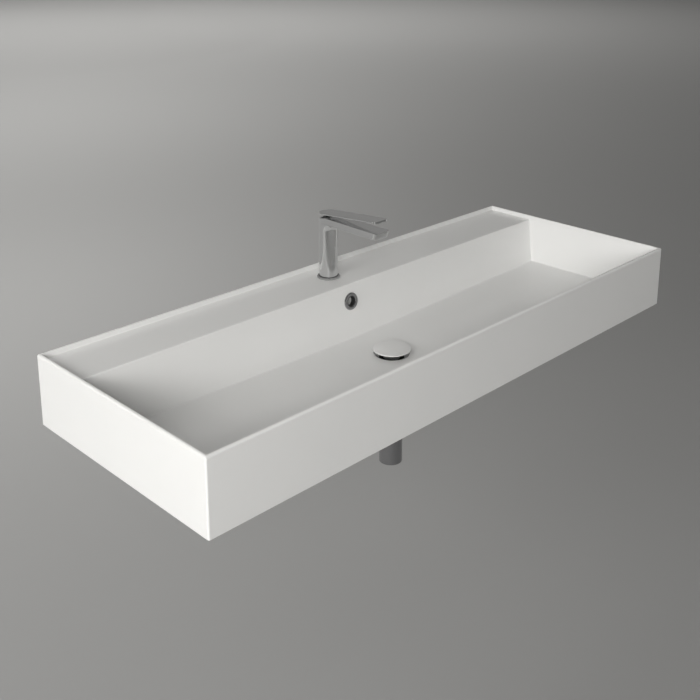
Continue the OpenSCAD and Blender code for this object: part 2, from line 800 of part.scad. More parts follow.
module cartridge_housing() {
    color("gainsboro") at_tap() difference() {
        union() {
            rod(cartridge_d, cartridge_base_z, cartridge_top_z);
            rod(cartridge_bore_d - 2 * running, cartridge_top_z - cartridge_flange_h, cartridge_top_z);
        }
        rod(cartridge_inner_d, fixed_disc_z, cartridge_top_z + past);
        ports(cartridge_base_z - past, fixed_disc_z + past);
    }
}

module fixed_disc() {
    color("white") at_tap() difference() {
        rod(cartridge_inner_d - 2 * running, fixed_disc_z, moving_disc_z);
        ports(fixed_disc_z - past, moving_disc_z + past);
    }
}

module moving_disc() {
    low = moving_disc_z + disc_web_t;
    color("white") at_tap() difference() {
        translate([0, moving_disc_y, 0]) rod(moving_disc_d, moving_disc_z, moving_disc_z + disc_t);
        translate([-disc_pocket_w / 2, -disc_pocket_w / 2, low])
            cube([disc_pocket_w, disc_pocket_w, disc_t]);
    }
}

// Turning carrier with two ears for the pivot pin and a slot for the spindle
module cartridge_carrier() {
    ear_x = dome_d / 2 - 2;
    slot_front = 7.2;
    slot_back = 4.5;
    color("gainsboro") at_tap() difference() {
        union() {
            rod(carrier_d, carrier_z, cartridge_top_z - running);
            translate([-ear_x, -ear_r, cartridge_top_z - past])
                cube([2 * ear_x, 2 * ear_r, pivot_z - cartridge_top_z + past]);
            translate([-ear_x, 0, pivot_z]) rotate([0, 90, 0]) cylinder(r = ear_r, h = 2 * ear_x);
        }
        translate([-ear_span / 2, -slot_front, carrier_z - past])
            cube([ear_span, slot_front + slot_back, pivot_z + 2 * ear_r - carrier_z]);
        translate([-ear_x - past, 0, pivot_z]) rotate([0, 90, 0])
            cylinder(d = pin_d + 2 * fit, h = 2 * ear_x + 2 * past);
    }
}

module spindle_pin() {
    pin_l = dome_d - 4;
    color("silver") at_tap() translate([-pin_l / 2, 0, pivot_z]) rotate([0, 90, 0])
        cylinder(d = pin_d, h = pin_l);
}

module cartridge_nut() {
    inner = dome_d + 2;
    notch = 4;
    low = cartridge_top_z;
    color("dimgray") at_tap() difference() {
        ring(cartridge_bore_d - 2 * fit, inner, low, low + cartridge_nut_h);
        for (a = [45:90:315]) rotate([0, 0, a])
            translate([inner / 2 - past, -notch / 2, low + cartridge_nut_h - 2])
                cube([cartridge_bore_d / 2 - inner / 2 - 0.2, notch, 2 + past]);
    }
}

// Dark dome that turns with the lever, slotted so that the lever's hub can swing back
module cartridge_cover() {
    wall = 1.3;
    slot = hub_d + 1;
    slot_back = 8.7;
    color("black") at_tap() difference() {
        union() {
            rod(dome_d, cartridge_top_z - running, pivot_z);
            intersection() {
                translate([0, 0, pivot_z]) sphere(d = dome_d);
                rod(2 * dome_d, pivot_z, pivot_z + dome_d);
            }
        }
        translate([0, 0, pivot_z]) sphere(d = dome_d - 2 * wall);
        rod(dome_d - 2 * wall, cartridge_top_z - past, pivot_z);
        translate([-slot / 2, -slot / 2, pivot_z + 2]) cube([slot, slot / 2 + slot_back, dome_d]);
    }
}

// Square above the pivot, round below it, with a ball that moves the disc
module lever_spindle() {
    square_bottom = pivot_z - 2.5;
    ball_z = moving_disc_z + disc_web_t + near + ball_d / 2;
    color("silver") at_tap() difference() {
        union() {
            translate([-spindle_w / 2, -spindle_w / 2, square_bottom])
                cube([spindle_w, spindle_w, lever_under_z - near - square_bottom]);
            rod(spindle_w - 2, ball_z, square_bottom + past);
            translate([0, 0, ball_z]) sphere(d = ball_d);
        }
        translate([-spindle_w, 0, pivot_z]) rotate([0, 90, 0])
            cylinder(d = pin_d + 2 * fit, h = 2 * spindle_w);
    }
}

module lever_plan() {
    circle(d = lever_w, $fn = 96);
    round_rectangle([-lever_w / 2, -lever_l], [lever_w / 2, 0], lever_corner_r);
    translate([-lever_w / 2, -lever_w]) square([lever_w, lever_w]);
}

// Side view of the lever: a sloping blade with a lip under its front edge
module lever_side() {
    rise = lever_t / cos(lever_slope);
    front = -lever_l;
    inner = front + lip_t;
    polygon([
        [lever_back_y, lever_z(lever_back_y)], [lever_back_y, lever_z(lever_back_y) + rise],
        [front, lever_z(front) + rise], [front, lever_z(front) - lip_h],
        [inner, lever_z(inner) - lip_h], [inner, lever_z(inner)]]);
}

module lever() {
    socket = spindle_w + 2 * fit;
    color("silver") at_tap() difference() {
        union() {
            intersection() {
                linear_extrude(height = 2 * spout_top_z) lever_plan();
                along_x(2 * lever_w) lever_side();
            }
            rod(hub_d, lever_hub_z, lever_under_z + lever_t / 2);
        }
        translate([-socket / 2, -socket / 2, lever_hub_z - past])
            cube([socket, socket, lever_under_z - lever_hub_z + past]);
        translate([0, 0, lever_under_z - screw_d / 2 - 0.2]) rotate([90, 0, 0])
            cylinder(d = screw_d + 2 * fit, h = hub_d);
    }
}

module lever_screw() {
    color("silver") at_tap() translate([0, -spindle_w / 2 - fit, lever_under_z - screw_d / 2 - 0.2])
        rotate([90, 0, 0]) cylinder(d = screw_d, h = hub_d / 2 - spindle_w / 2 - 2 * fit);
}

basin();
overflow_duct();
overflow_ring();
waste_body();
flange_gasket();
under_gasket();
waste_washer();
waste_nut();
tail_gasket();
tail_pipe();
click_housing();
click_nut();
click_spring();
plug_stem();
plug_seal();
plug_cap();
tap_body();
base_seal();
base_ring();
fixing_stud();
fixing_gasket();
fixing_washer();
fixing_nut();
aerator_gasket();
aerator_insert();
aerator_housing();
cartridge_seals();
cartridge_housing();
fixed_disc();
moving_disc();
cartridge_carrier();
spindle_pin();
cartridge_nut();
cartridge_cover();
lever_spindle();
lever();
lever_screw();
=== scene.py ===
"""Wall hung washbasin with its mixer tap and waste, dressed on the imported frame.

The frame has +X along the wall to the right, +Y into the wall and +Z up. Its origin lies midway between
the two wall fixing holes, on the wall plane. Sizes in this file are millimetres and angles are degrees,
and a mesh is turned into metres where it is made.
"""
import json
import logging
import math
from dataclasses import dataclass
from enum import Enum
from typing import Iterable, Optional, Sequence

import bmesh
import bpy
import numpy as np
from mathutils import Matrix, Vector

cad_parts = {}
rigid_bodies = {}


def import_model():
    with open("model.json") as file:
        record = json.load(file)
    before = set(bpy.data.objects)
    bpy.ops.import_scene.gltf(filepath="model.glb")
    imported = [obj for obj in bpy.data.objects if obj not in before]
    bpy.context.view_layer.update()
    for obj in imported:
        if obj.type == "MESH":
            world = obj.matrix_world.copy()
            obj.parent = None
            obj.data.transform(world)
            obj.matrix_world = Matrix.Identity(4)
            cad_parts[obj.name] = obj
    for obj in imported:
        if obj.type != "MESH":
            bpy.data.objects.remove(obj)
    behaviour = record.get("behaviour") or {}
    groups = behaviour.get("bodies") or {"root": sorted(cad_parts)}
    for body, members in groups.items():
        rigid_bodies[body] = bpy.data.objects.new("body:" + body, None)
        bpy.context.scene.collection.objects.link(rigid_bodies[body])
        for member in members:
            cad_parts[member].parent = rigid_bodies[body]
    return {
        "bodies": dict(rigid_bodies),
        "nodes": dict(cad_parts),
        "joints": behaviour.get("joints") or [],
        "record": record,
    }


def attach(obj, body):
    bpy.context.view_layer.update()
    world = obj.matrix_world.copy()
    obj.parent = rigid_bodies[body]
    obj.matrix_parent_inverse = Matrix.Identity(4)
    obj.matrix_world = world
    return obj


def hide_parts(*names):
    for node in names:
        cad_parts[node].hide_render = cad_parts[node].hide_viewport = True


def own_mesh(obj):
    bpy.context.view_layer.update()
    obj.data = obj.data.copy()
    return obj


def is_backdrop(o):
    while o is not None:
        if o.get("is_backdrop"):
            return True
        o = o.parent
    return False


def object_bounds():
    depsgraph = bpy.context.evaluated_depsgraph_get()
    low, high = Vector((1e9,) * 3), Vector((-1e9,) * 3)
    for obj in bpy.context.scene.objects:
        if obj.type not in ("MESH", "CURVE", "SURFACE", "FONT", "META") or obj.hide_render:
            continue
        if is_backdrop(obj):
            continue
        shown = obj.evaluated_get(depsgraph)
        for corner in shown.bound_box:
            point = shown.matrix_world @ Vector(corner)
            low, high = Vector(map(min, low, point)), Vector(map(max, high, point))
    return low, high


Array = np.ndarray
Piece = bpy.types.Object
Socket = bpy.types.NodeSocket
Numbers = Sequence[float]

LOG = logging.getLogger("washbasin")
# One millimetre in metres, and the distance within which two points are one.
MM = 0.001
MERGE = 0.002
# The upright axes of the tap and of the waste, both at x = 0.
TAP_Y = -55.6
WASTE_Y = -228.0
UP = (0.0, 0.0, 1.0)
# The steps of a small round edge.
EDGE_ANGLES = (0, 30, 60, 90)


class Slot(Enum):
    """The record's material slots."""

    GLAZE = "glazed_ceramic"
    CHROME = "chrome"
    CAP = "cap_finish"
    BRASS = "brass"
    STEEL = "steel"
    RUBBER = "rubber"
    WHITE_PLASTIC = "white_plastic"
    BLACK_PLASTIC = "black_plastic"
    DISC = "disc_ceramic"


class Body(Enum):
    """The bodies of the moving model that new pieces ride on."""

    FIXED = "fixed"
    PLUG = "plug"
    LEVER = "lever_arm"


# ---------------------------------------------------------------- shapes


def arc(centre: Numbers, radius: float, start: float, end: float, steps: int) -> Array:
    """Points of a circular arc: centre + radius * (cos a, sin a), a running evenly from start to end.

    Args:
        centre: The arc's centre in its plane.
        radius: Its radius.
        start: First angle.
        end: Last angle.
        steps: Number of segments.

    Returns:
        An array of steps + 1 points.
    """
    a = np.radians(np.linspace(start, end, steps + 1))
    return np.stack([centre[0] + radius * np.cos(a), centre[1] + radius * np.sin(a)], axis=1)


def quarter(radius: float, angles: Iterable[float]) -> list:
    """A quarter round as pairs (r (1 - cos a), r (1 - sin a)), one pair for each angle a."""
    return [(radius * (1 - math.cos(a)), radius * (1 - math.sin(a))) for a in map(math.radians, angles)]


def soften(corners: Sequence[Numbers], radii: Numbers, steps: int = 5) -> Array:
    """A closed outline whose corners are rounded.

    The corner between two straight runs at angle t becomes an arc of radius r that touches both runs at a
    distance r / tan(t / 2) from the corner. A radius of 0 keeps the corner.

    Args:
        corners: The outline's corners in order.
        radii: One radius for each corner.
        steps: Segments of each arc.

    Returns:
        The rounded outline's points.
    """
    points = np.asarray(corners, float)
    parts: list[Array] = []
    for index, radius in enumerate(radii):
        corner = points[index]
        before, after = points[index - 1] - corner, points[(index + 1) % len(points)] - corner
        u, w = before / np.linalg.norm(before), after / np.linalg.norm(after)
        half = math.acos(float(np.clip(u @ w, -1, 1))) / 2
        if radius <= 0 or half > math.pi / 2 - 1e-3:
            parts.append(corner[None])
            continue
        reach = radius / math.tan(half)
        t = np.linspace(0, 1, steps + 1)[:, None]
        centre = corner + (u + w) / np.linalg.norm(u + w) * radius / math.sin(half)
        start, end = corner + u * reach - centre, corner + w * reach - centre
        sweep = math.acos(float(np.clip(start @ end / radius ** 2, -1, 1)))
        parts.append(centre + (np.sin((1 - t) * sweep) * start + np.sin(t * sweep) * end) / math.sin(sweep))
    return np.concatenate(parts)


def loft(name: str, loops: Array, closed: bool = False) -> Piece:
    """A closed surface through a stack of loops, P(i, j) with j running round each loop.

    Face (i, j) joins P(i, j), P(i, j + 1), P(i + 1, j + 1) and P(i + 1, j), with j taken modulo the loop's
    length. Where closed is set, i is taken modulo the number of loops, and otherwise the two end loops are
    filled. Doubles are merged and all faces turned outwards.

    Args:
        name: The piece's name.
        loops: Array of shape (rows, columns, 3).
        closed: Whether the last loop joins the first.

    Returns:
        The linked object, at the origin and in metres.
    """
    rows, cols = loops.shape[:2]
    i, j = np.meshgrid(np.arange(rows if closed else rows - 1), np.arange(cols), indexing="ij")
    n, k = (i + 1) % rows, (j + 1) % cols
    quads = np.stack([i * cols + j, i * cols + k, n * cols + k, n * cols + j], axis=-1).reshape(-1, 4)
    faces = quads.tolist()
    if not closed:
        faces += [list(range(cols))[::-1], list(range((rows - 1) * cols, rows * cols))]
    mesh = bpy.data.meshes.new(name)
    mesh.from_pydata((loops.reshape(-1, 3) * MM).tolist(), [], faces)
    bm = bmesh.new()
    bm.from_mesh(mesh)
    bmesh.ops.remove_doubles(bm, verts=bm.verts, dist=MERGE * MM)
    bmesh.ops.recalc_face_normals(bm, faces=bm.faces)
    bm.to_mesh(mesh)
    bm.free()
    obj = bpy.data.objects.new(name, mesh)
    bpy.context.scene.collection.objects.link(obj)
    return obj


def revolve(name: str, profile: Array, origin: Numbers, axis: Numbers = UP, segments: int = 96,
            closed: bool = True) -> Piece:
    """A profile of (radius, height) turned round an axis.

    P(i, j) = origin + r_i (cos a_j e1 + sin a_j e2) + h_i axis, with a_j = 2 pi j / segments.

    Args:
        name: The piece's name.
        profile: One row of radius and height for each point.
        origin: Where height is 0 on the axis.
        axis: The axis direction, of length 1.
        segments: Steps round the axis.
        closed: Whether the profile is a closed outline; the ends of an open one are filled.

    Returns:
        The linked object.
    """
    up, e1 = np.asarray(axis, float), np.array([1.0, 0.0, 0.0])
    a = 2 * np.pi * np.arange(segments)[:, None] / segments
    ring = np.cos(a) * e1 + np.sin(a) * np.cross(up, e1)
    loops = np.asarray(origin, float) + profile[:, None, :1] * ring + profile[:, None, 1:2] * up
    return loft(name, loops, closed)


def rod(name: str, radius: float, low: float, high: float, origin: Numbers, axis: Numbers = UP) -> Piece:
    """A round rod for cutting, from low to high along its axis: a straight line turned round it."""
    return revolve(name, np.array([[radius, low], [radius, high]]), origin, axis, 72, False)


def prism(name: str, outline: Sequence[Numbers], low: float, high: float, axis: int) -> Piece:
    """A closed outline carried along one axis, for cutting.

    Args:
        name: The object's name.
        outline: Points in the plane of the two other axes, in their order.
        low: Where the prism starts.
        high: Where it ends.
        axis: 0, 1 or 2 for X, Y or Z.

    Returns:
        The linked object.
    """
    flat = np.asarray(outline, float)
    return loft(name, np.stack([np.insert(flat, axis, end, axis=1) for end in (low, high)]))


def cut(obj: Piece, tools: Iterable[Piece]) -> None:
    """Cuts closed tools out of obj one after the other, and removes them.

    Args:
        obj: The object that is kept.
        tools: What is cut out of it.
    """
    for tool in tools:
        modifier = obj.modifiers.new("Cut", "BOOLEAN")
        modifier.operation = "DIFFERENCE"
        modifier.solver = "EXACT"
        modifier.object = tool
        graph = bpy.context.evaluated_depsgraph_get()
        graph.update()
        mesh = bpy.data.meshes.new_from_object(obj.evaluated_get(graph), depsgraph=graph)
        obj.modifiers.clear()
        old, obj.data = obj.data, mesh
        mesh.name = obj.name
        bpy.data.meshes.remove(old)
        bpy.data.objects.remove(tool)


def shade(obj: Piece, angle: float, weighted: bool = True) -> Piece:
    """Shades obj smooth up to an angle, with flat faces kept flat by weighted normals where asked.

    Args:
        obj: The piece.
        angle: The largest angle between faces that are shaded as one.
        weighted: Whether flat faces stay flat.

    Returns:
        obj.
    """
    obj.data.shade_smooth()
    obj.data.set_sharp_from_angle(angle=math.radians(angle))
    if weighted:
        modifier = obj.modifiers.new("Normals", "WEIGHTED_NORMAL")
        modifier.keep_sharp = True
        modifier.weight = 60
    return obj


def bevel(obj: Piece, width: float) -> None:
    """Welds the loose triangles of a CAD solid and rounds its edges over 40 degrees, both live.

    Args:
        obj: The CAD node's object.
        width: The rounding's width.
    """
    obj.modifiers.new("Weld", "WELD").merge_threshold = MERGE * MM
    modifier = obj.modifiers.new("Edges", "BEVEL")
    modifier.width = width * MM
    modifier.segments = 2
    modifier.limit_method = "ANGLE"
    modifier.angle_limit = math.radians(40)


# ---------------------------------------------------------------- shader tools


class Graph:
    """A short way to place and link the nodes of one tree."""

    def __init__(self, tree: bpy.types.NodeTree) -> None:
        """Keeps the tree."""
        self.tree = tree

    def node(self, kind: str, inputs: dict, **settings: object) -> bpy.types.Node:
        """Places a node.

        Args:
            kind: The node's Blender type, without ShaderNode.
            inputs: Value or output socket for each input, by its name or number.
            settings: Values of the node's own properties.

        Returns:
            The node.
        """
        node = self.tree.nodes.new("ShaderNode" + kind)
        for key, value in settings.items():
            setattr(node, key, value)
        for key, value in inputs.items():
            if isinstance(value, Socket):
                self.tree.links.new(value, node.inputs[key])
            else:
                node.inputs[key].default_value = value
        return node

    def math(self, operation: str, a: object, b: object = 0.0) -> Socket:
        """The output of a Math node on a and b."""
        return self.node("Math", {0: a, 1: b}, operation=operation).outputs[0]

    def mix(self, factor: object, a: object, b: object) -> Socket:
        """The colour a blended towards b by factor."""
        return self.node("Mix", {0: factor, 6: a, 7: b}, data_type="RGBA").outputs[2]

    def span(self, *values: object) -> Socket:
        """The first value carried from the range of the next two to the range of the last two."""
        return self.node("MapRange", dict(enumerate(values))).outputs[0]


# The socket types of a group's values.
FLOAT, COLOR = "NodeSocketFloat", "NodeSocketColor"


class Group(Graph):
    """A node group under construction, with coordinates and named values in and one value out."""

    def __init__(self, name: str, output: str, kind: str, **inputs: object) -> None:
        """Makes the group with its sockets.

        Args:
            name: The group's name.
            output: The output's name.
            kind: The output's socket type.
            inputs: The default of each input, where a tuple is a colour.
        """
        super().__init__(bpy.data.node_groups.new(name, "ShaderNodeTree"))
        new_socket = self.tree.interface.new_socket
        new_socket(name="Vector", in_out="INPUT", socket_type="NodeSocketVector")
        for label, default in inputs.items():
            value_kind = COLOR if isinstance(default, tuple) else FLOAT
            new_socket(name=label, in_out="INPUT", socket_type=value_kind).default_value = default
        new_socket(name=output, in_out="OUTPUT", socket_type=kind)
        self.source = self.tree.nodes.new("NodeGroupInput").outputs
        self.sink = self.tree.nodes.new("NodeGroupOutput").inputs[output]

    def noise(self, scale: object, detail: float, roughness: float = 0.5, vector: Optional[Socket] = None
              ) -> Socket:
        """A soft noise on the group's coordinates, or on another vector."""
        return self.node("TexNoise", {"Vector": vector or self.source["Vector"], "Scale": scale,
                                      "Detail": detail, "Roughness": roughness}).outputs["Fac"]

    def result(self, value: Socket) -> bpy.types.NodeTree:
        """Puts the value out and gives the finished group."""
        self.tree.links.new(value, self.sink)
        return self.tree


def grey(level: float) -> tuple:
    """An opaque grey."""
    return level, level, level, 1.0


class Effects:
    """The surface effects that several finishes share, each a node group built once."""

    def __init__(self) -> None:
        """Builds the groups."""
        self.waviness = self._waviness()
        self.mottle = self._mottle()
        self.scuffs = self._scuffs()
        self.turning = self._turning()

    @staticmethod
    def _waviness() -> bpy.types.NodeTree:
        """Two soft noises, a broad and a fine one, as a height.

        Returns:
            The group.
        """
        g = Group("Waviness", "Height", FLOAT, Broad=9.0, Fine=140.0, Share=0.1)
        fine = g.math("MULTIPLY", g.noise(g.source["Fine"], 2.0), g.source["Share"])
        return g.result(g.math("ADD", g.noise(g.source["Broad"], 1.0, 0.4), fine))

    @staticmethod
    def _mottle() -> bpy.types.NodeTree:
        """A colour that drifts a little towards a second one in soft patches.

        Returns:
            The group.
        """
        g = Group("Mottle", "Color", COLOR, Color=grey(0.8), Tint=grey(0.7), Scale=12.0, Amount=0.3)
        patch = g.span(g.noise(g.source["Scale"], 4.0, 0.55), 0.35, 0.7, 0.0, 1.0)
        share = g.math("MULTIPLY", patch, g.source["Amount"])
        return g.result(g.mix(share, g.source["Color"], g.source["Tint"]))

    @staticmethod
    def _scuffs() -> bpy.types.NodeTree:
        """Roughness with cloudy patches and fine wiping marks drawn out along one axis.

        Returns:
            The group.
        """
        g = Group("Scuffs", "Roughness", FLOAT, Roughness=0.1, Clouds=0.03, Marks=0.03, Density=60.0)
        drawn = g.node("Mapping", {"Vector": g.source["Vector"], "Scale": (1.0, 14.0, 14.0),
                                   "Rotation": (0.1, 0.2, 0.6)}).outputs[0]
        line = g.span(g.noise(g.source["Density"], 2.0, vector=drawn), 0.58, 0.7, 0.0, 1.0)
        clouds = g.math("MULTIPLY", g.noise(35.0, 3.0), g.source["Clouds"])
        marks = g.math("MULTIPLY", line, g.source["Marks"])
        return g.result(g.math("ADD", g.math("ADD", clouds, marks), g.source["Roughness"]))

    @staticmethod
    def _turning() -> bpy.types.NodeTree:
        """Height of the fine rings that a lathe leaves round a vertical axis, one ring each 1 / Pitch.

        Returns:
            The group.
        """
        g = Group("Turning", "Height", FLOAT, Pitch=1200.0)
        x, y, z = g.node("SeparateXYZ", {"Vector": g.source["Vector"]}).outputs
        radius = g.math("SQRT", g.math("ADD", g.math("MULTIPLY", x, x), g.math("MULTIPLY", y, y)))
        full_turn = 6.283
        pitch = g.math("MULTIPLY", g.source["Pitch"], full_turn)
        return g.result(g.math("SINE", g.math("MULTIPLY", g.math("ADD", radius, z), pitch)))


class Finish:
    """A material under construction: its Principled shader and its object coordinates."""

    def __init__(self, name: str, centre: Numbers = (0.0, 0.0, 0.0)) -> None:
        """Starts the material.

        Args:
            name: The material's name.
            centre: The point that a pattern is centred on.
        """
        self.material = bpy.data.materials.new(name)
        self.material.use_nodes = True
        self.graph = Graph(self.material.node_tree)
        self.shader = self.material.node_tree.nodes["Principled BSDF"]
        self.vector = self.graph.node("TexCoord", {}).outputs["Object"]
        if any(centre):
            move = {"Vector": self.vector, "Location": tuple(-c * MM for c in centre)}
            self.vector = self.graph.node("Mapping", move).outputs[0]

    def group(self, tree: bpy.types.NodeTree, **inputs: object) -> Socket:
        """The output of a shared group on the material's coordinates."""
        return self.graph.node("Group", {"Vector": self.vector, **inputs}, node_tree=tree).outputs[0]

    def feed(self, socket: str, tree: bpy.types.NodeTree, **inputs: object) -> None:
        """Feeds a shared group to a socket of the shader."""
        self.graph.tree.links.new(self.group(tree, **inputs), self.shader.inputs[socket])

    def bump(self, strength: float, distance: float, tree: bpy.types.NodeTree, **inputs: object) -> None:
        """Feeds a shared group's height in through a bump of a distance in millimetres."""
        values = {"Strength": strength, "Distance": distance * MM, "Height": self.group(tree, **inputs)}
        self.graph.tree.links.new(self.graph.node("Bump", values).outputs[0], self.shader.inputs["Normal"])

    def set(self, values: Iterable[tuple]) -> None:
        """Sets plain values on the shader's own sockets, from pairs of socket and value."""
        for socket, value in values:
            self.shader.inputs[socket].default_value = value


@dataclass(frozen=True)
class Surface:
    """A finish: patches of a tint, a roughness with clouds and wiping marks, and a relief.

    patches holds the patches' scale and amount; marks the amounts of the clouds and of the marks, and the
    marks' density; waves the broad and the fine scale, and the fine one's share; own plain values of the
    shader's sockets. The relief's depth is in millimetres.
    """

    name: str
    color: tuple
    tint: tuple
    roughness: float
    depth: float = 0.04
    patches: tuple = (60.0, 0.5)
    marks: tuple = (0.1, 0.05, 60.0)
    waves: tuple = (60.0, 700.0, 0.8)
    strength: float = 0.4
    centre: tuple = (0.0, 0.0, 0.0)
    own: tuple = ()

    def relief(self, finish: Finish, effects: Effects) -> None:
        """Feeds two soft noises in as a relief."""
        waves = dict(zip(("Broad", "Fine", "Share"), self.waves))
        finish.bump(self.strength, self.depth, effects.waviness, **waves)

    def build(self, effects: Effects) -> bpy.types.Material:
        """Makes the material.

        Args:
            effects: The shared groups.

        Returns:
            The material.
        """
        f = Finish(self.name, self.centre)
        scale, amount = self.patches
        clouds, marks, density = self.marks
        f.feed("Base Color", effects.mottle, Color=self.color, Tint=self.tint, Scale=scale, Amount=amount)
        f.feed("Roughness", effects.scuffs, Roughness=self.roughness, Clouds=clouds, Marks=marks,
               Density=density)
        self.relief(f, effects)
        f.set(self.own)
        return f.material


@dataclass(frozen=True)
class Glaze(Surface):
    """White sanitary glaze, satin, with the faint swell that firing leaves."""

    name: str = "Satin white glaze"
    color: tuple = (0.86, 0.86, 0.855, 1.0)
    tint: tuple = (0.82, 0.825, 0.82, 1.0)
    roughness: float = 0.34
    depth: float = 0.25
    patches: tuple = (7.0, 0.35)
    marks: tuple = (0.05, 0.02, 22.0)
    waves: tuple = (14.0, 420.0, 0.015)
    strength: float = 0.5
    own: tuple = (("IOR", 1.5), ("Coat Weight", 0.25), ("Coat Roughness", 0.12))


@dataclass(frozen=True)
class Plating(Surface):
    """Polished plating over metal, with faint wiping marks."""

    name: str = "Polished chrome"
    color: tuple = (0.74, 0.745, 0.75, 1.0)
    tint: tuple = (0.67, 0.68, 0.69, 1.0)
    roughness: float = 0.06
    depth: float = 0.03
    patches: tuple = (40.0, 0.25)
    marks: tuple = (0.05, 0.04, 90.0)
    waves: tuple = (60.0, 900.0, 0.05)
    own: tuple = (("Metallic", 1.0),)


@dataclass(frozen=True)
class TurnedMetal(Surface):
    """Bare metal with the rings of a lathe, round a vertical axis."""

    depth: float = 0.03
    patches: tuple = (90.0, 0.6)
    marks: tuple = (0.12, 0.05, 60.0)
    strength: float = 0.25
    own: tuple = (("Metallic", 1.0),)
    pitch: float = 1400.0

    def relief(self, finish: Finish, effects: Effects) -> None:
        """Feeds the rings in as a relief."""
        finish.bump(self.strength, self.depth, effects.turning, Pitch=self.pitch)


@dataclass(frozen=True)
class Moulding(Surface):
    """Moulded plastic, rubber or lapped ceramic with a fine even grain."""


class Palette:
    """Every finish of the object, by its slot."""

    def __init__(self) -> None:
        """Builds the shared effects and the materials."""
        effects = Effects()
        # Painted shade: a darker copy of the chrome for the pieces that hang in the shade, the tail pipe
        # and the overflow ring.
        painted_shade = Plating("Chrome with painted shade", (0.42, 0.42, 0.43, 1.0), (0.34, 0.34, 0.35, 1.0), 0.12)
        self.painted_shade = painted_shade.build(effects)
        waste, stud = (0, WASTE_Y, 0), (0, TAP_Y - TapBody.stud_f, 0)
        finishes = {
            Slot.GLAZE: Glaze(),
            Slot.CHROME: Plating(),
            Slot.CAP: Glaze("Satin white cap", (0.84, 0.84, 0.835, 1), (0.81, 0.81, 0.805, 1), 0.3, 0.05),
            Slot.BRASS: TurnedMetal("Turned brass", (0.71, 0.56, 0.3, 1), (0.55, 0.42, 0.22, 1), 0.3,
                                    centre=waste),
            Slot.STEEL: TurnedMetal("Zinc plated steel", grey(0.62), (0.5, 0.5, 0.52, 1), 0.34,
                                    centre=stud),
            Slot.RUBBER: Moulding("Black rubber", grey(0.05), grey(0.07), 0.7),
            Slot.WHITE_PLASTIC: Moulding("White acetal", (0.78, 0.78, 0.76, 1), (0.72, 0.72, 0.69, 1),
                                         0.42),
            Slot.BLACK_PLASTIC: Moulding("Black nylon", grey(0.03), grey(0.045), 0.45),
            Slot.DISC: Moulding("Lapped ceramic", (0.85, 0.84, 0.8, 1), (0.8, 0.79, 0.75, 1), 0.22, 0.01,
                                waves=(60.0, 1500.0, 0.8)),
        }
        self.materials = {slot: finish.build(effects) for slot, finish in finishes.items()}

    def dress(self, obj: Piece, slot: Slot, painted_shade: bool = False) -> None:
        """Gives obj its slot's material, or the darker copy of the chrome, with painted shade, for parts
        that hang in the shade.
        """
        obj.data.materials.clear()
        obj.data.materials.append(self.painted_shade if painted_shade else self.materials[slot])


class Assembly:
    """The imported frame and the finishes, with the two ways a piece joins the object."""

    def __init__(self, frame: dict, palette: Palette) -> None:
        """Keeps the frame and the palette."""
        self.frame = frame
        self.palette = palette

    def carry(self, slot: Slot, *nodes: str, rounding: float = 0.0) -> None:
        """Dresses CAD nodes whose shape is right.

        Args:
            slot: Their finish.
            nodes: The nodes' names.
            rounding: Width of a live bevel on their edges, or 0.
        """
        for name in nodes:
            obj = self.frame["nodes"][name]
            self.palette.dress(obj, slot)
            if rounding > 0:
                bevel(obj, rounding)
            LOG.info("%s: CAD solid kept, %s", name, slot.value)

    def add(self, obj: Piece, slot: Slot, body: Body, *nodes: str, painted_shade: bool = False) -> None:
        """Dresses a new piece and lets it stand for CAD nodes.

        Args:
            obj: The piece.
            slot: Its finish.
            body: The body that it rides on.
            nodes: The nodes that it replaces.
            painted_shade: Whether it gets the darker copy of the chrome, with painted shade.
        """
        self.palette.dress(obj, slot, painted_shade)
        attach(obj, body.value)
        if nodes:
            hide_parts(*nodes)
        LOG.info("%s: %d faces on %s, %s", obj.name, len(obj.data.polygons), body.value, slot.value)


# ---------------------------------------------------------------- the basin


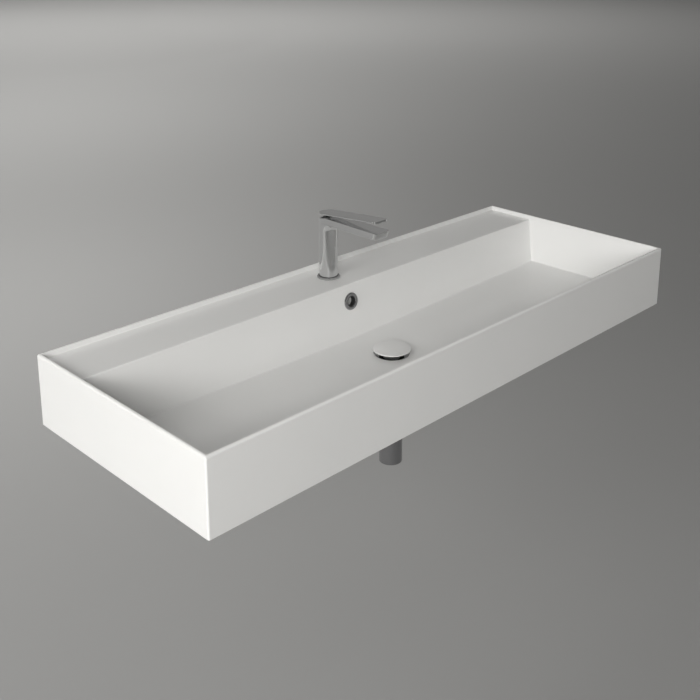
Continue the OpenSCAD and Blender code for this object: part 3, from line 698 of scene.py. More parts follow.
@dataclass
class BasinBody:
    """The glazed body: bowl, ledge, rim, outer faces and underside as one closed skin.

    The skin is a ring of loops P(i, j). Each loop is a rectangle with round corners, and the loops run
    from the waste hole over the floor, up the bowl's walls, over the ledge and the rim, down the outside
    and back under the floor to the hole.
    """

    half_w: float = 600.0
    depth: float = 450.0
    rim_z: float = 70.0
    ledge_z: float = 60.0
    floor_z: float = -48.5
    floor_rise: float = 10.0
    floor_bend: float = 30.0
    bottom_z: float = -56.0
    rim_t: float = 6.0
    skirt_t: float = 8.0
    back_t: float = 12.0
    ledge_d: float = 114.0
    back_lean: float = 13.5
    side_lean: float = 2.0
    ledge_t: float = 9.0
    wall_t: float = 9.0
    outer_r: float = 3.0
    bowl_r: float = 3.0
    corner_r: float = 3.5
    bowl_corner_min: float = 0.4
    outer_corner_min: float = 0.3
    side_step: float = 0.4
    corner_steps: int = 6
    long_steps: int = 44
    short_steps: int = 12
    crowding: float = 1.6
    fillet: float = 1.2
    rim_round: float = 0.8
    rim_outer_round: float = 4.0
    ledge_round: float = 1.8
    bottom_round: float = 1.0
    seat_r: float = 33.5
    seat_z: float = -53.5
    seat_fillet: float = 0.4
    seat_round: float = 1.2
    hole_r: float = 23.0
    pad_r: float = 40.0
    tap_hole_r: float = 17.5
    bolt_x: float = 140.0
    bolt_r: float = 10.0
    overflow_z: float = 25.0
    overflow_hole_r: float = 11.25
    land_half_w: float = 19.0
    land_front: float = -160.0
    land_y: float = -106.12
    land_top_z: float = 43.25

    def back_y(self, z: float) -> float:
        """The bowl's back wall: y = -ledge_d - back_lean (ledge_z - z) / (ledge_z - floor_z)."""
        return -self.ledge_d - self.back_lean * (self.ledge_z - z) / (self.ledge_z - self.floor_z)

    def floor(self, flat: Array, offset: float = 0.0) -> Array:
        """The points on the floor, or offset above it.

        The floor is a soft V, z = floor_z + floor_rise (sqrt(x^2 + a^2) - a) / (w - a), a = floor_bend.

        Args:
            flat: The points, x and y.
            offset: How far above the floor they lie.

        Returns:
            The points with their heights.
        """
        w, a = self.half_w - self.rim_t, self.floor_bend
        z = self.floor_z + self.floor_rise * (np.sqrt(flat[:, 0] ** 2 + a ** 2) - a) / (w - a)
        return self.lift(flat, z + offset)

    def under(self, flat: Array) -> Array:
        """The points on the floor's underside: bottom_z within pad_r of the middle, evenly rising beyond.

        Args:
            flat: The points, x and y.

        Returns:
            The points with their heights.
        """
        w = self.half_w - self.skirt_t
        beyond = np.clip(np.abs(flat[:, 0]) - self.pad_r, 0, None)
        return self.lift(flat, self.bottom_z + self.floor_rise * beyond / (w - self.pad_r))

    def _sides(self) -> tuple:
        """Fractions along the long sides, closer near the middle, and along the short sides."""
        u = np.linspace(-1, 1, self.long_steps + 1)
        return np.sign(u) * np.abs(u) ** self.crowding, np.linspace(0, 1, self.short_steps + 1)

    def loop(self, half_w: float, front: float, back: float, r_front: float, r_back: float) -> Array:
        """One flat loop, seen from above: front side, right side, back side, left side, with round corners.

        Args:
            half_w: Half its width.
            front: Its lowest y.
            back: Its highest y.
            r_front: Radius of the two front corners.
            r_back: Radius of the two back corners.

        Returns:
            The points, x and y.
        """
        f, s = self._sides()
        low, high, near, far = front + r_front, back - r_back, half_w - r_front, half_w - r_back
        front_side = np.stack([f * near, np.full_like(f, front)], axis=1)
        right = np.stack([np.full_like(s, half_w), low + s * (back - front - r_front - r_back)], axis=1)
        back_side = np.stack([-f * far, np.full_like(f, back)], axis=1)
        corners = [arc(centre, r, start, start + 90, self.corner_steps)[1:-1] for centre, r, start in (
            ((near, low), r_front, -90), ((far, high), r_back, 0),
            ((-far, high), r_back, 90), ((-near, low), r_front, 180))]
        return np.concatenate([front_side, corners[0], right, corners[1], back_side, corners[2],
                               right[::-1] * [-1, 1], corners[3]])

    @staticmethod
    def lift(flat: Array, z: object) -> Array:
        """The loop's points with their heights added."""
        return np.column_stack([flat, np.broadcast_to(z, len(flat))])

    def circle(self, radius: float, like: Array) -> Array:
        """Points round the waste, each in the direction of the matching point of another loop."""
        a = np.arctan2(like[:, 1] - WASTE_Y, like[:, 0])
        return np.stack([radius * np.cos(a), WASTE_Y + radius * np.sin(a)], axis=1)

    def bowl_loop(self, inset: float, height: float) -> Array:
        """A loop of the bowl's wall, height above the floor, moved in by inset for the fillet.

        Args:
            inset: How far it is moved in.
            height: How far above the floor it lies.

        Returns:
            The points, x and y.
        """
        back = self.back_y(self.floor_z + height)
        lean = self.side_lean * (1 - height / (self.rim_z - self.floor_z))
        w = self.half_w - self.rim_t - lean - inset
        r = max(self.corner_r - inset, self.bowl_corner_min)
        return self.loop(w, -self.depth + self.rim_t + lean + inset, back - inset, r, r)

    def floor_loops(self) -> list:
        """Seat, edge of the seat, floor and the fillet up to the walls.

        Returns:
            The loops.
        """
        rim, e = self.bowl_loop(self.bowl_r, 0), self.seat_fillet
        loops = [self.lift(self.circle(r, rim), z) for r, z in (
            (self.hole_r, self.seat_z), (self.seat_r - e, self.seat_z), (self.seat_r, self.seat_z + e))]
        loops += [self.floor(self.circle(self.seat_r + out, rim), -drop)
                  for out, drop in quarter(self.seat_round, EDGE_ANGLES)]
        start = loops[-1][:, :2]
        loops += [self.floor(start + (rim - start) * t) for t in np.linspace(0, 1, 13)[1:-1] ** 1.3]
        loops += [self.floor(self.bowl_loop(inset, height), height)
                  for inset, height in quarter(self.bowl_r, np.linspace(90, 0, 10))]
        return loops

    def wall_loops(self, base: Array) -> list:
        """The walls from the fillet's top to just under the ledge, each point on a straight line.

        Args:
            base: The last of the floor's loops.

        Returns:
            The loops.
        """
        top_z = self.ledge_z - self.ledge_round
        top = self.lift(self.bowl_loop(0, top_z - self.floor_z), top_z)
        return [base + (top - base) * t for t in np.linspace(0, 1, 5)[1:]]

    def ledge_loop(self, back: float, z: float, turn: float, side_z: float) -> Array:
        """A loop whose back side lies on the ledge.

        Its back corners are arcs of the fillet's sphere, c + r (sin a, cos a sin t, -cos a cos t) with t
        the turn, so they stand upright on the ledge at t = 0 and lie flat against the rim at t = 90.

        Args:
            back: The back side's y.
            z: The back side's height.
            turn: How far the fillet behind the ledge has turned.
            side_z: Height of the other three sides.

        Returns:
            The points.
        """
        r, w, front = self.fillet, self.half_w - self.rim_t, -self.depth + self.rim_t
        points = self.lift(self.loop(w, front, back, self.corner_r, r), side_z)
        f, s = self._sides()
        n = self.corner_steps - 1
        t, a = math.radians(turn), np.radians(np.linspace(90, 0, n + 2)[1:-1])
        centre_y, centre_z = back - r * math.sin(t), z + r * math.cos(t)
        corner = np.stack([w - r + r * np.sin(a), centre_y + r * np.cos(a) * math.sin(t),
                           centre_z - r * np.cos(a) * math.cos(t)], axis=1)
        first = len(f) + n + len(s)
        second = first + n + len(f)
        points[first:first + n] = corner
        points[first + n:second, 2] = z
        points[second:second + n] = corner[::-1] * [-1, 1, 1]
        side = front + self.corner_r + s * (centre_y - front - self.corner_r)
        points[first - len(s):first, 1] = side
        points[second + n:second + n + len(s), 1] = side[::-1]
        return points

    def ledge_loops(self) -> list:
        """The round front edge of the ledge, its flat, and the fillet behind it.

        Returns:
            The loops.
        """
        r, side, edge_y = self.fillet, self.ledge_z + self.fillet, self.back_y(self.ledge_z)
        loops = [self.ledge_loop(edge_y + inset, self.ledge_z - drop, 0,
                                 self.ledge_z + self.side_step * step)
                 for step, (inset, drop) in enumerate(quarter(self.ledge_round, EDGE_ANGLES)) if step]
        loops += [self.ledge_loop(float(y), self.ledge_z, 0, side + (y - edge_y) / self.ledge_d)
                  for y in np.linspace(edge_y + self.ledge_round, -self.rim_t - r, 8)[1:]]
        turns = (18.0, 36.0, 54.0, 72.0, 90.0)
        for turn, (rise, gap) in zip(turns, quarter(r, turns)):
            y, z = -self.rim_t - gap, self.ledge_z + rise
            loops.append(self.ledge_loop(y, z, turn, side + 1 + turn / 90))
        return loops

    def outer_loops(self) -> list:
        """Rim, outer faces, bottom edge and the underside to the waste hole.

        Returns:
            The loops.
        """
        t, w, d, loops = self.rim_t, self.half_w, self.depth, []
        for o, drop in quarter(self.rim_round, np.linspace(0, 90, 5)):
            flat = self.loop(w - t + o, t - d - o, o - t, self.corner_r + o, self.fillet + o)
            loops.append(self.lift(flat, self.rim_z - drop))
        edges = [(o, self.rim_z - h) for o, h in quarter(self.rim_outer_round, np.linspace(90, 0, 9))]
        edges += [(o, self.bottom_z + h) for o, h in quarter(self.bottom_round, np.linspace(0, 90, 5))]
        for o, z in edges:
            corner = max(self.outer_r - o, self.outer_corner_min)
            loops.append(self.lift(self.loop(w - o, -d + o, -o, corner, corner), z))
        s, r = self.skirt_t, self.outer_r
        flat = self.loop(w - s, -d + s, self.back_y(self.floor_z), r, r)
        end = self.circle(self.hole_r, self.bowl_loop(self.bowl_r, 0))
        loops.append(self.lift(flat, self.bottom_z))
        loops += [self.under(flat + (end - flat) * share) for share in (0, 0.35, 0.7, 0.88)]
        return loops + [self.lift(end, self.bottom_z)]

    def cutters(self) -> list:
        """Space under the ledge, tap hole, wall fixing holes and overflow hole.

        Returns:
            The closed objects to cut with.
        """
        low, high, spare, through = self.bottom_z - 2, self.ledge_z - self.ledge_t, 5, 15
        inner = self.half_w - self.skirt_t
        wall = [[self.back_y(z) + self.wall_t, z] for z in (high, low)]
        cavity = prism("cavity", [[-self.back_t, low], [-self.back_t, high], *wall], -inner, inner, 0)
        front, back, top = self.land_front, self.land_y, self.land_top_z
        land = prism("land", [[front, low - 1], [back, low - 1], [back, top], [front, top]],
                     -self.land_half_w, self.land_half_w, 0)
        cut(cavity, [land])
        top = self.ledge_z + spare
        tools = [cavity, rod("tap_hole", self.tap_hole_r, high - spare, top, (0, TAP_Y, 0))]
        for x in (-self.bolt_x, self.bolt_x):
            tools.append(rod("bolt_hole", self.bolt_r, -spare, self.back_t + spare, (x, 0, 0), (0, -1, 0)))
        lean = math.atan(self.back_lean / (self.ledge_z - self.floor_z))
        middle = (0, self.back_y(self.overflow_z), self.overflow_z)
        axis = (0, -math.cos(lean), math.sin(lean))
        return tools + [rod("overflow_hole", self.overflow_hole_r, -through, spare, middle, axis)]

    def build(self, kit: Assembly) -> None:
        """Makes the skin, cuts its openings and dresses the duct behind it.

        Args:
            kit: What the pieces join.
        """
        loops = self.floor_loops()
        loops += self.wall_loops(loops[-1])
        loops += self.ledge_loops() + self.outer_loops()
        obj = loft("basin_body", np.stack(loops), closed=True)
        cut(obj, self.cutters())
        kit.add(shade(obj, 30), Slot.GLAZE, Body.FIXED, "basin")
        kit.carry(Slot.GLAZE, "overflow_duct", rounding=0.8)


@dataclass
class OverflowRing:
    """The ring pushed into the overflow hole, with its sleeve, and a thin black tube in its bore that is
    painted shade for the dark way behind it.
    """

    outer_r: float = 17.5
    bore_r: float = 10.0
    sleeve_t: float = 1.2
    sleeve_l: float = 9.0
    thickness: float = 3.0
    rim_h: float = 0.7
    face_in: float = 1.6
    bore_out: float = 1.3
    bore_h: float = 0.9
    rounding: tuple = (0, 0, 0, 0.1, 0.7, 1.6, 1.2, 0.9)
    origin: tuple = (0.0, -118.36, 25.0)
    lean: float = 7.09
    # Size of the thin black tube of painted shade inside the bore.
    shade_tube_drop: float = 1.2
    shade_tube_t: float = 0.5
    shade_tube_gap: float = 0.02

    def build(self, kit: Assembly) -> None:
        """Turns the ring's softened section, and the section of the black tube of painted shade, round the
        leaning axis.

        Args:
            kit: What the pieces join.
        """
        r, b, t, deep = self.outer_r, self.bore_r, self.thickness, -self.sleeve_l
        lean = math.radians(self.lean)
        axis = (0, -math.cos(lean), math.sin(lean))
        ring = [[b, deep], [b + self.sleeve_t, deep], [b + self.sleeve_t, 0], [r, 0], [r, self.rim_h],
                [r - self.face_in, t], [b + self.bore_out, t], [b, self.bore_h]]
        obj = revolve("overflow_trim", soften(ring, self.rounding, 6), self.origin, axis, 128)
        # The ring gets the darker copy of the chrome, which is painted shade.
        kit.add(shade(obj, 40, False), Slot.CHROME, Body.FIXED, "overflow_ring", painted_shade=True)
        # Painted shade: a thin black tube inside the bore darkens the way into the overflow.
        inner, outer, top = b - self.shade_tube_t, b - self.shade_tube_gap, t - self.shade_tube_drop
        bore = np.array([[inner, deep], [outer, deep], [outer, top], [inner, top]])
        shade_tube = revolve("overflow_shade_tube", bore, self.origin, axis)
        kit.add(shade(shade_tube, 40, False), Slot.BLACK_PLASTIC, Body.FIXED)


# ---------------------------------------------------------------- the waste


@dataclass
class WasteFitting:
    """The waste under the bowl: flange, nut, seals and the tail pipe."""

    pipe_r: float = 22.5
    pipe_wall: float = 3.0
    pipe_end: float = -274.0
    socket_r: float = 24.45
    bore_r: float = 21.05
    socket_top: float = -98.0
    socket_floor: float = -116.0
    cone_top: float = -119.4
    cone_end: float = -122.85
    rounding: tuple = (0.5, 0.5, 3.0, 1.5, 0.8, 0.5, 0.2, 0.3)
    push: float = 7.0

    def pipe(self) -> Piece:
        """The tail pipe with its socket, turned round the waste's axis.

        Returns:
            The piece.
        """
        inner, r, socket, bore = self.pipe_r - self.pipe_wall, self.pipe_r, self.socket_r, self.bore_r
        section = [[inner, self.pipe_end], [r, self.pipe_end], [r, self.cone_end], [socket, self.cone_top],
                   [socket, self.socket_top], [bore, self.socket_top], [bore, self.socket_floor],
                   [inner, self.socket_floor]]
        return revolve("tail_tube", soften(section, self.rounding), (0, WASTE_Y, 0), segments=112)

    def build(self, kit: Assembly) -> None:
        """Makes the pipe, dresses the other parts and gives the spring a mesh of its own.

        Args:
            kit: What the pieces join.
        """
        # The pipe gets the darker copy of the chrome, which is painted shade: it hangs in the shade under
        # the basin.
        kit.add(shade(self.pipe(), 40, False), Slot.CHROME, Body.FIXED, "tail_pipe", painted_shade=True)
        kit.carry(Slot.CHROME, "waste_body")
        kit.carry(Slot.RUBBER, "flange_gasket", "under_gasket", "tail_gasket")
        kit.carry(Slot.WHITE_PLASTIC, "waste_washer", "click_housing")
        kit.carry(Slot.BRASS, "waste_nut", "click_nut", rounding=0.5)
        kit.carry(Slot.STEEL, "click_spring")
        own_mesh(kit.frame["nodes"]["click_spring"])


@dataclass
class Plug:
    """The push plug: a low domed cap, its seal and its stem."""

    radius: float = 36.25
    edge_z: float = -40.5
    edge_h: float = 2.2
    edge_r: float = 0.9
    edge_drop: float = 0.78
    edge_turn: float = 72.0
    lower_r: float = 0.5
    crown: float = 2.6
    recess: float = 0.6
    recess_in: float = 6.5
    recess_bevel: float = 0.7

    def section(self) -> Array:
        """Half the cap's section: flat edge, then the dome z = top - crown (r / R)^2 on the way in.

        Returns:
            One row of radius and height for each point.
        """
        top, e, low = self.edge_z + self.edge_h, self.edge_r, self.lower_r
        r = np.linspace(1, 0, 25)[:, None] * (self.radius - e)
        dome = np.hstack([r, top + self.crown * (1 - (r / self.radius) ** 2)])
        edge = arc((self.radius - e, top - self.edge_drop), e, 0, self.edge_turn, 6)
        lower = arc((self.radius - low, self.edge_z + low), low, -90, 0, 4)
        under, inner = self.edge_z + self.recess, self.radius - self.recess_in
        recess = [[0, under], [inner, under], [inner + self.recess_bevel, self.edge_z]]
        return np.concatenate([recess, lower, edge, dome[1:]])

    def build(self, kit: Assembly) -> None:
        """Turns the cap, and dresses the seal and the stem.

        Args:
            kit: What the pieces join.
        """
        cap = revolve("cap", self.section(), (0, WASTE_Y, 0), segments=128)
        kit.add(shade(cap, 40, False), Slot.CAP, Body.PLUG, "plug_cap")
        kit.carry(Slot.RUBBER, "plug_seal")
        kit.carry(Slot.WHITE_PLASTIC, "plug_stem")


# ---------------------------------------------------------------- the tap


@dataclass(frozen=True)
class SpoutPlan:
    """Plan outlines shared by the spout and the lever, in points (x, f) with f forward of the axis.

    Every outline has the same number of points: the back half circle from left to right, then side, front
    corner, front edge, corner and side, so that outlines can be blended point by point.
    """

    side_steps: int = 14
    corner_steps: int = 8
    front_steps: int = 8
    back_steps: int = 36

    def back(self, radius: float) -> Array:
        """The half circle behind the axis."""
        return arc((0, 0), radius, 180, 0, self.back_steps) * [1, -1]

    def outline(self, back_r: float, half_w: float, reach: float, corner: float) -> Array:
        """The spout's outline: half circle behind, straight sides that spread, round front corners.

        Args:
            back_r: Radius of the half circle behind the axis.
            half_w: Half width at the front.
            reach: Where the front edge lies.
            corner: Radius of the front corners.

        Returns:
            The points, anticlockwise seen from above with f towards -y.
        """
        t = (1 - (1 - np.linspace(0, 1, self.side_steps + 1)[1:-1]) ** 1.5)[:, None]
        start, end = np.array([back_r, 0.0]), np.array([half_w, reach - corner])
        near = arc((half_w - corner, reach - corner), corner, 0, 90, self.corner_steps)
        f = np.linspace(1, -1, self.front_steps + 1)[1:-1]
        front = np.stack([f * (half_w - corner), np.full_like(f, reach)], axis=1)
        right = np.concatenate([start + (end - start) * t, near])
        return np.concatenate([self.back(back_r), right, front, right[::-1] * [-1, 1]])

    def slice(self, radius: float, reach: float, power: float = 2.0) -> Array:
        """A round slice whose front half is the superellipse |x / radius|^n + |f / reach|^n = 1.

        Args:
            radius: Radius of its back half.
            reach: How far it reaches forward.
            power: The exponent n.

        Returns:
            As many points as an outline has.
        """
        count = 2 * (self.side_steps + self.corner_steps) + self.front_steps - 1
        a = np.linspace(0, math.pi, count + 2)[1:-1]
        x = radius * np.sign(np.cos(a)) * np.abs(np.cos(a)) ** (2 / power)
        front = np.stack([x, reach * np.abs(np.sin(a)) ** (2 / power)], axis=1)
        return np.concatenate([self.back(radius), front])


def tap_skin(sections: Iterable[tuple]) -> Array:
    """Loops (x, TAP_Y - f, z) of the frame from pairs of plan points (x, f) and their heights z."""
    return np.stack([np.column_stack([flat[:, 0], TAP_Y - flat[:, 1], np.broadcast_to(z, len(flat))])
                     for flat, z in sections])


def smooth_step(value: float, low: float, high: float) -> float:
    """0 below low, 1 above high, and 3 t^2 - 2 t^3 between them."""
    t = min(max((value - low) / (high - low), 0.0), 1.0)
    return t * t * (3 - 2 * t)


@dataclass
class TapBody:
    """Column and spout in one piece.

    The skin is a stack of loops: round up the column, forward through the crook, out over the spout's
    underside, up its sides, in over its top and down into the cartridge's bore.
    """

    column_r: float = 18.3
    foot_z: float = 62.5
    foot_edge: float = 0.5
    plain_h: float = 20.0
    under_z: float = 173.0
    thickness: float = 13.0
    reach: float = 148.6
    undercut: float = 3.5
    half_w: float = 18.7
    corner: float = 8.0
    fall: float = 1.0
    crook_r: float = 14.0
    heel_front: float = 14.0
    heel_drop: float = 5.4
    bore_r: float = 14.0
    bore_edge: float = 0.4
    bore_floor: float = 161.0
    edge: float = 0.7
    inlet_r: float = 5.0
    inlet_x: float = 7.0
    inlet_f: float = -4.5
    inlet_depth: float = 15.0
    stud_r: float = 4.05
    stud_f: float = 12.0
    stud_depth: float = 14.0
    aerator_f: float = 131.6
    aerator_r: float = 9.12
    aerator_top: float = 181.3
    plan: SpoutPlan = SpoutPlan()

    def underside(self, f: Array) -> Array:
        """Height of the spout's underside, falling evenly by fall over its length."""
        return self.under_z + self.fall / 2 - self.fall * np.clip(f, 0, None) / self.reach

    def top(self, f: Array) -> Array:
        """Height of the top, the lower of two straight falls, blended over about k millimetres.

        One falls by fall from heel_front to the front, the other by heel_drop towards the heel.

        Args:
            f: How far forward of the axis.

        Returns:
            The heights.
        """
        crest = self.under_z + self.thickness + self.fall / 2
        ahead = crest - self.fall * (f - self.heel_front) / (self.reach - self.heel_front)
        behind = crest - self.heel_drop * (self.heel_front - f) / (self.heel_front + self.column_r)
        k = 0.25
        return -k * np.logaddexp(-ahead / k, -behind / k)

    def loops(self) -> Array:
        """All the loops, from the foot to the bore's floor.

        Returns:
            The stack of loops.
        """
        plan, r, e = self.plan, self.column_r, self.edge
        column, crook_z = plan.slice(r, r), self.under_z - self.crook_r
        out = [(column * 0.01, self.foot_z), (column * (1 - self.foot_edge / r), self.foot_z),
               (column, self.foot_z + self.foot_edge)]
        out += [(column, z) for z in np.linspace(self.foot_z + self.plain_h, crook_z, 5)]
        for a in np.linspace(0, 90, 13)[1:]:
            forward = 1 - math.cos(math.radians(a))
            last = plan.slice(r, r + self.crook_r * forward, 2 + forward)
            lift = self.fall / 2 * smooth_step(a, 30, 90)
            out.append((last, crook_z + self.crook_r * math.sin(math.radians(a)) + lift))
        low = self.outline_at(0.0, e)
        for t in np.linspace(0, 1, 8)[1:]:
            out.append(self.under_loop(last + (low - last) * t, 0.0, 0.5 + 0.3 * t))
        for step, (rise, inset) in enumerate(quarter(e, EDGE_ANGLES)):
            if step:
                out.append(self.under_loop(self.outline_at(0.0, inset), rise, 0.8 + 0.1 * step))
        for t in np.linspace(0, 1, 5)[1:]:
            flat = self.outline_at(float(t))
            base, top = self.underside(flat[:, 1]) + e, self.top(flat[:, 1]) - e
            out.append((flat, base + (top - base) * t))
        for inset, drop in quarter(e, EDGE_ANGLES[1:]):
            rim = self.outline_at(1.0, inset)
            out.append((rim, self.top(rim[:, 1]) - drop))
        wall = plan.slice(self.bore_r, self.bore_r)
        bore = plan.slice(self.bore_r + self.bore_edge, self.bore_r + self.bore_edge)
        for t in np.linspace(0, 1, 9)[1:]:
            flat = rim + (bore - rim) * t
            out.append((flat, self.top(flat[:, 1])))
        out += [(wall, self.top(wall[:, 1]) - self.bore_edge), (wall, self.bore_floor),
                (wall * 0.01, self.bore_floor)]
        return tap_skin(out)

    def outline_at(self, height: float, inset: float = 0.0) -> Array:
        """The spout's outline at a share of its thickness, moved in by inset, with a front that leans."""
        reach = self.reach - self.undercut * (1 - height) - inset
        return self.plan.outline(self.column_r - inset, self.half_w - inset, reach, self.corner)

    def under_loop(self, flat: Array, rise: float, back_rise: float) -> tuple:
        """A loop near the spout's underside whose back half stays on the column's own circle.

        Args:
            flat: Its plan points.
            rise: How far its front half lies over the underside.
            back_rise: How far its back half lies over under_z.

        Returns:
            The plan points and their heights.
        """
        z, back = self.underside(flat[:, 1]) + rise, self.plan.back(self.column_r)
        z[:len(back)] = self.under_z + back_rise
        return np.concatenate([back, flat[len(back):]]), z

    def build(self, kit: Assembly) -> None:
        """Makes the body, bores it and dresses what it carries.

        Args:
            kit: What the pieces join.
        """
        obj = loft("tap_casting", self.loops())
        low = self.foot_z - 2
        cut(obj, [
            *(rod("inlet", self.inlet_r, low, self.foot_z + self.inlet_depth,
                  (side * self.inlet_x, TAP_Y - self.inlet_f, 0)) for side in (-1, 1)),
            rod("stud_hole", self.stud_r, low, self.foot_z + self.stud_depth, (0, TAP_Y - self.stud_f, 0)),
            rod("aerator_seat", self.aerator_r, self.under_z - 5, self.aerator_top,
                (0, TAP_Y - self.aerator_f, 0))])
        kit.add(shade(obj, 34), Slot.CHROME, Body.FIXED, "tap_body")
        kit.carry(Slot.RUBBER, "base_seal", "aerator_gasket")
        kit.carry(Slot.CHROME, "aerator_housing")
        kit.carry(Slot.WHITE_PLASTIC, "aerator_insert")


@dataclass
class BaseRing:
    """The ring round the column's foot, with its hollow shoulder, and a black cord in its groove that is
    painted shade.
    """

    outer_r: float = 23.4
    column_r: float = 18.35
    low_z: float = 60.8
    top_z: float = 64.5
    web_r: float = 16.5
    web_top: float = 62.5
    lip: float = 1.5
    lip_drop: float = 0.9
    groove_drop: float = 1.9
    slope_run: float = 1.2
    edge_h: float = 1.3
    # Size and rise of the black cord of painted shade in the groove.
    groove_shade_r: float = 0.75
    groove_shade_rise: float = 0.6
    rounding: tuple = (0, 0.35, 0.55, 0.5, 0.3, 0.1, 0, 0, 0)

    def build(self, kit: Assembly) -> None:
        """Turns the ring's section, and the section of the black cord of painted shade, round the tap's
        axis.

        Args:
            kit: What the pieces join.
        """
        low, edge, web = self.low_z, self.low_z + self.edge_h, self.web_r
        inner, lip_z = self.column_r + self.lip, self.top_z - self.lip_drop
        groove = self.top_z - self.groove_drop
        ring = [[web, low], [self.outer_r, low], [self.outer_r, edge], [inner + self.slope_run, lip_z],
                [inner, lip_z], [inner, groove], [self.column_r, groove], [self.column_r, self.web_top],
                [web, self.web_top]]
        obj = revolve("foot_ring", soften(ring, self.rounding, 6), (0, TAP_Y, 0), segments=112)
        kit.add(shade(obj, 40, False), Slot.CHROME, Body.FIXED, "base_ring")
        # Painted shade: a thin black cord darkens the groove between the column and the ring.
        cord = arc((self.column_r + self.lip / 2, groove + self.groove_shade_rise), self.groove_shade_r, 0, 337.5, 16)
        seal = revolve("foot_groove_shade", cord, (0, TAP_Y, 0), segments=112)
        kit.add(shade(seal, 60, False), Slot.BLACK_PLASTIC, Body.FIXED)


@dataclass
class Lever:
    """The flat blade with its hub below and a small lip under its front edge.

    The skin is a stack of loops from the hub's end, out over the underside, round the edge and in over the
    top.
    """

    half_w: float = 18.4
    reach: float = 143.4
    corner: float = 7.0
    thickness: float = 3.0
    slope: float = 5.3
    under_z: float = 191.3
    lip_h: float = 1.5
    lip_t: float = 2.5
    lip_run: float = 0.4
    hub_r: float = 5.0
    hub_z: float = 184.0
    hub_edge: float = 0.4
    hub_neck: float = 0.5
    hub_flare: float = 1.1
    edge: float = 0.55
    socket: float = 6.0
    plan: SpoutPlan = SpoutPlan(side_steps=22)

    def height(self, flat: Array) -> Array:
        """Height of the underside over plan points: under_z + f tan(slope)."""
        return self.under_z + flat[:, 1] * math.tan(math.radians(self.slope))

    def lip(self, flat: Array) -> Array:
        """How far the lip hangs down at plan points."""
        start = self.reach - self.lip_t - self.lip_run
        return self.lip_h * np.clip((flat[:, 1] - start) / self.lip_run, 0, 1)

    def loops(self) -> Array:
        """All the loops, from the hub's end to the middle of the top.

        Returns:
            The stack of loops.
        """
        e, lip_t, hub = self.edge, self.lip_t, self.plan.slice(self.hub_r, self.hub_r)
        wide = hub * self.hub_flare
        out = [(hub * 0.01, self.hub_z), (hub * (1 - self.hub_edge / self.hub_r), self.hub_z),
               (hub, self.hub_z + self.hub_edge), (hub, self.height(hub) - self.hub_neck)]
        width = self.half_w - lip_t
        inner = self.plan.outline(width, width, self.reach - lip_t, self.corner)
        under = [wide + (inner - wide) * t for t in (0, 0.15, 0.4, 0.7, 1.0)]
        out += [(flat, self.height(flat)) for flat in under]
        rise = self.thickness / math.cos(math.radians(self.slope))
        for up, inset in quarter(e, EDGE_ANGLES):
            flat = self.outline(inset)
            out.append((flat, self.height(flat) - self.lip(flat) + up))
        for inset, drop in quarter(e, EDGE_ANGLES):
            flat = self.outline(inset)
            out.append((flat, self.height(flat) + rise - drop))
        tops = [flat * (1 - t) for t in (0.1, 0.4, 0.7, 0.99)]
        return tap_skin(out + [(top, self.height(top) + rise) for top in tops])

    def outline(self, inset: float) -> Array:
        """The blade's outline, moved in by inset."""
        w = self.half_w - inset
        return self.plan.outline(w, w, self.reach - inset, self.corner - inset)

    def build(self, kit: Assembly) -> None:
        """Makes the blade, cuts the hub's square socket and dresses the spindle and the screw.

        Args:
            kit: What the pieces join.
        """
        obj = loft("lever_blade", self.loops())
        s = self.socket / 2
        square = [[-s, TAP_Y - s], [s, TAP_Y - s], [s, TAP_Y + s], [-s, TAP_Y + s]]
        cut(obj, [prism("socket", square, self.hub_z - 2, self.under_z, 2)])
        kit.add(shade(obj, 34), Slot.CHROME, Body.LEVER, "lever")
        kit.carry(Slot.STEEL, "lever_spindle", "lever_screw")


class Cartridge:
    """The ceramic disc cartridge, its nut and the dark dome over it."""

    def build(self, kit: Assembly) -> None:
        """Dresses the parts.

        Args:
            kit: What the pieces join.
        """
        kit.carry(Slot.BLACK_PLASTIC, "cartridge_cover", "cartridge_nut", rounding=0.25)
        kit.carry(Slot.WHITE_PLASTIC, "cartridge_housing", "cartridge_carrier")
        kit.carry(Slot.RUBBER, "cartridge_seals")
        kit.carry(Slot.DISC, "fixed_disc", "moving_disc")
        kit.carry(Slot.STEEL, "spindle_pin")


class TapFixing:
    """Stud, gasket, washer and nut under the ledge."""

    def build(self, kit: Assembly) -> None:
        """Dresses the parts.

        Args:
            kit: What the pieces join.
        """
        kit.carry(Slot.STEEL, "fixing_stud", "fixing_washer")
        kit.carry(Slot.RUBBER, "fixing_gasket")
        kit.carry(Slot.BRASS, "fixing_nut", rounding=0.5)


# ---------------------------------------------------------------- the studio


# The floor's height in metres, and the slightly warm white of every lamp and of the world.
FLOOR_Z = -0.78
LIGHT_COLOR = (1.010, 1.0, 0.973)


def place(name: str, data: bpy.types.ID) -> Piece:
    """A new object of the stage from its data.

    Args:
        name: Its name.
        data: Its mesh, lamp or camera.

    Returns:
        The linked object.
    """
    obj = bpy.data.objects.new(name, data)
    bpy.context.scene.collection.objects.link(obj)
    return obj


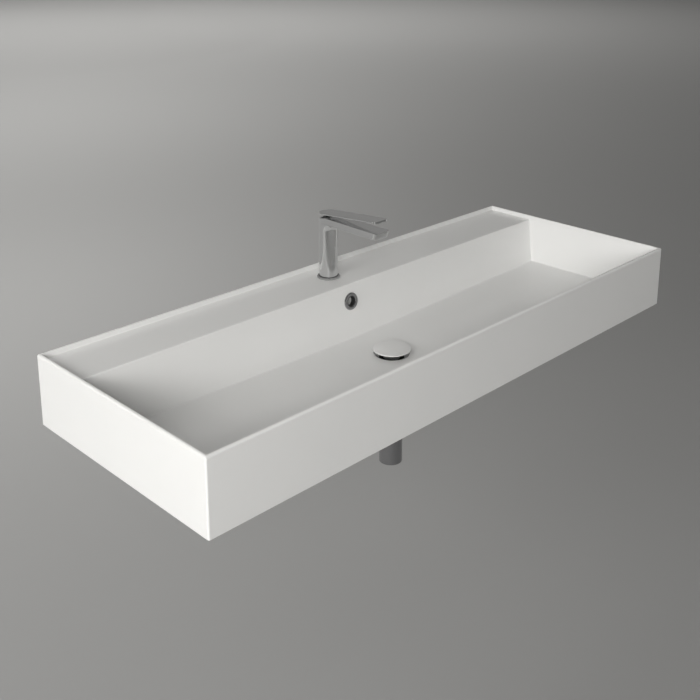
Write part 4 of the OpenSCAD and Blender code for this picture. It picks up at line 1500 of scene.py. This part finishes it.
@dataclass(frozen=True)
class Lamp:
    """An area lamp that faces a point.

    Places are in metres, the power is in watts and the spread in degrees. A mirrored lamp also shows in the
    plating as a reflection.
    """

    name: str
    at: tuple
    to: tuple
    size: tuple
    power: float
    spread: float = 180.0
    mirrored: bool = False

    def build(self) -> None:
        """Adds the lamp."""
        data = bpy.data.lights.new(self.name, "AREA")
        data.shape, (data.size, data.size_y), data.energy = "RECTANGLE", self.size, self.power
        data.spread = math.radians(self.spread)
        data.color = LIGHT_COLOR
        obj = place(self.name, data)
        obj.location = self.at
        x, y, z = np.subtract(self.to, self.at)
        obj.rotation_euler = (-math.atan2(math.hypot(x, y), -z), 0.0, math.atan2(x, -y))
        obj.visible_camera = False
        obj.visible_glossy = self.mirrored


def wash(name: str, x: float, y: float, height: float, size: float, power: float, spread: float) -> Lamp:
    """A square lamp that hangs over the floor and shines straight down, to light the background."""
    return Lamp(name, (x, y, height), (x, y, FLOOR_Z), (size, size), power, spread)


@dataclass
class Studio:
    """Camera, lamps, world and the plain floor, in metres.

    Most light comes low from the left and from the left of the front, and the world adds some from the
    right. The wash lamps light the floor round the basin, which is the background.
    """

    camera_at: tuple = (-1.3069, -1.4301, 0.7700)
    camera_turn: tuple = (75.17, 0.0, -44.84)
    lens: float = 52.20
    shift_y: float = -0.2500
    floor_half: float = 60.0
    floor_color: tuple = grey(0.357)
    side_light: float = 0.46
    surround: float = 0.25
    lamps: tuple = (
        Lamp("Left", (-3.6, -1.1, 1.15), (0, -0.25, 0), (1.6, 1.3), 54.0),
        Lamp("Left back", (-3.6, 0.6, 0.7), (0, -0.25, 0), (1.6, 1.3), 18.0),
        Lamp("Left front", (-3.0, -3.0, 1.6), (0, -0.25, 0), (1.6, 1.6), 88.0),
        Lamp("Glint", (-3.0, -2.9, 1.5), (0, -0.25, 0), (0.45, 1.6), 7.0, mirrored=True),
        Lamp("High left", (-2.4, -0.3, 2.8), (0, -0.2, 0), (1.6, 1.6), 7.5),
        wash("Near wash", 0.3, 2.1, 2.1, 1.5, 14.0, 100.0),
        wash("Middle wash", 1.8, 5.2, 3.5, 3.0, 52.0, 110.0),
        wash("Far wash", 4.5, 11.0, 7.0, 7.0, 385.0, 120.0),
        wash("Far right wash", 10.0, 9.0, 7.0, 7.0, 145.0, 120.0),
        wash("Left wash", -5.0, 4.5, 5.0, 5.0, 155.0, 100.0),
        wash("Front wash", 4.5, -5.0, 5.0, 5.0, 38.0, 100.0),
    )

    def camera(self) -> None:
        """Places the camera at the photograph's viewing angle."""
        data = bpy.data.cameras.new("Camera")
        data.sensor_width, data.lens, data.shift_y = 36.0, self.lens, self.shift_y
        data.clip_start, data.clip_end = 0.01, 100.0
        obj = place("Camera", data)
        obj.location = self.camera_at
        obj.rotation_euler = [math.radians(a) for a in self.camera_turn]
        bpy.context.scene.camera = obj

    def world(self) -> None:
        """A surround that the camera and the plating see as plain grey, and that lights from the right.

        Its light is side_light times the share of the direction that points right, and what is seen is
        surround.
        """
        world = bpy.data.worlds.new("Studio")
        world.use_nodes = True
        bpy.context.scene.world = world
        g = Graph(world.node_tree)
        coordinates = g.node("TexCoord", {}).outputs["Generated"]
        right = g.node("SeparateXYZ", {"Vector": coordinates}).outputs[0]
        light = g.math("MULTIPLY", g.math("MAXIMUM", right), self.side_light)
        ray = g.node("LightPath", {}).outputs
        seen = g.math("MAXIMUM", ray["Is Camera Ray"], ray["Is Glossy Ray"])
        seen = g.math("MAXIMUM", seen, ray["Is Transmission Ray"])
        background = world.node_tree.nodes["Background"].inputs
        background["Color"].default_value = (*LIGHT_COLOR, 1)
        world.node_tree.links.new(g.span(seen, 0.0, 1.0, light, self.surround), background["Strength"])

    def floor(self) -> None:
        """A wide plain floor under the basin."""
        r, z = self.floor_half, FLOOR_Z
        mesh = bpy.data.meshes.new("Floor")
        mesh.from_pydata([(-r, -r, z), (r, -r, z), (r, r, z), (-r, r, z)], [], [(0, 1, 2, 3)])
        finish = Finish("Pale floor")
        finish.set((("Base Color", self.floor_color), ("Roughness", 0.9)))
        mesh.materials.append(finish.material)
        place("Floor", mesh)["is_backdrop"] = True

    def build(self) -> None:
        """Sets the whole stage."""
        bpy.context.scene.view_settings.view_transform = "Standard"
        self.camera()
        for lamp in self.lamps:
            lamp.build()
        self.world()
        self.floor()


def corners(pair: Iterable) -> list:
    """Two corners as plain lists of numbers."""
    return [[float(c) for c in corner] for corner in pair]


def main() -> None:
    """Builds the stage and the washbasin."""
    logging.basicConfig(level=logging.INFO, format="%(name)s: %(message)s")
    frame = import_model()
    cad = corners(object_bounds())
    Studio().build()
    kit = Assembly(frame, Palette())
    for part in (BasinBody(), OverflowRing(), WasteFitting(), Plug(), TapBody(), BaseRing(), Lever(),
                 Cartridge(), TapFixing()):
        LOG.info("%s", type(part).__name__)
        part.build(kit)
    {"cad": cad, "visual": corners(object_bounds())}


if __name__ == "__main__":
    main()
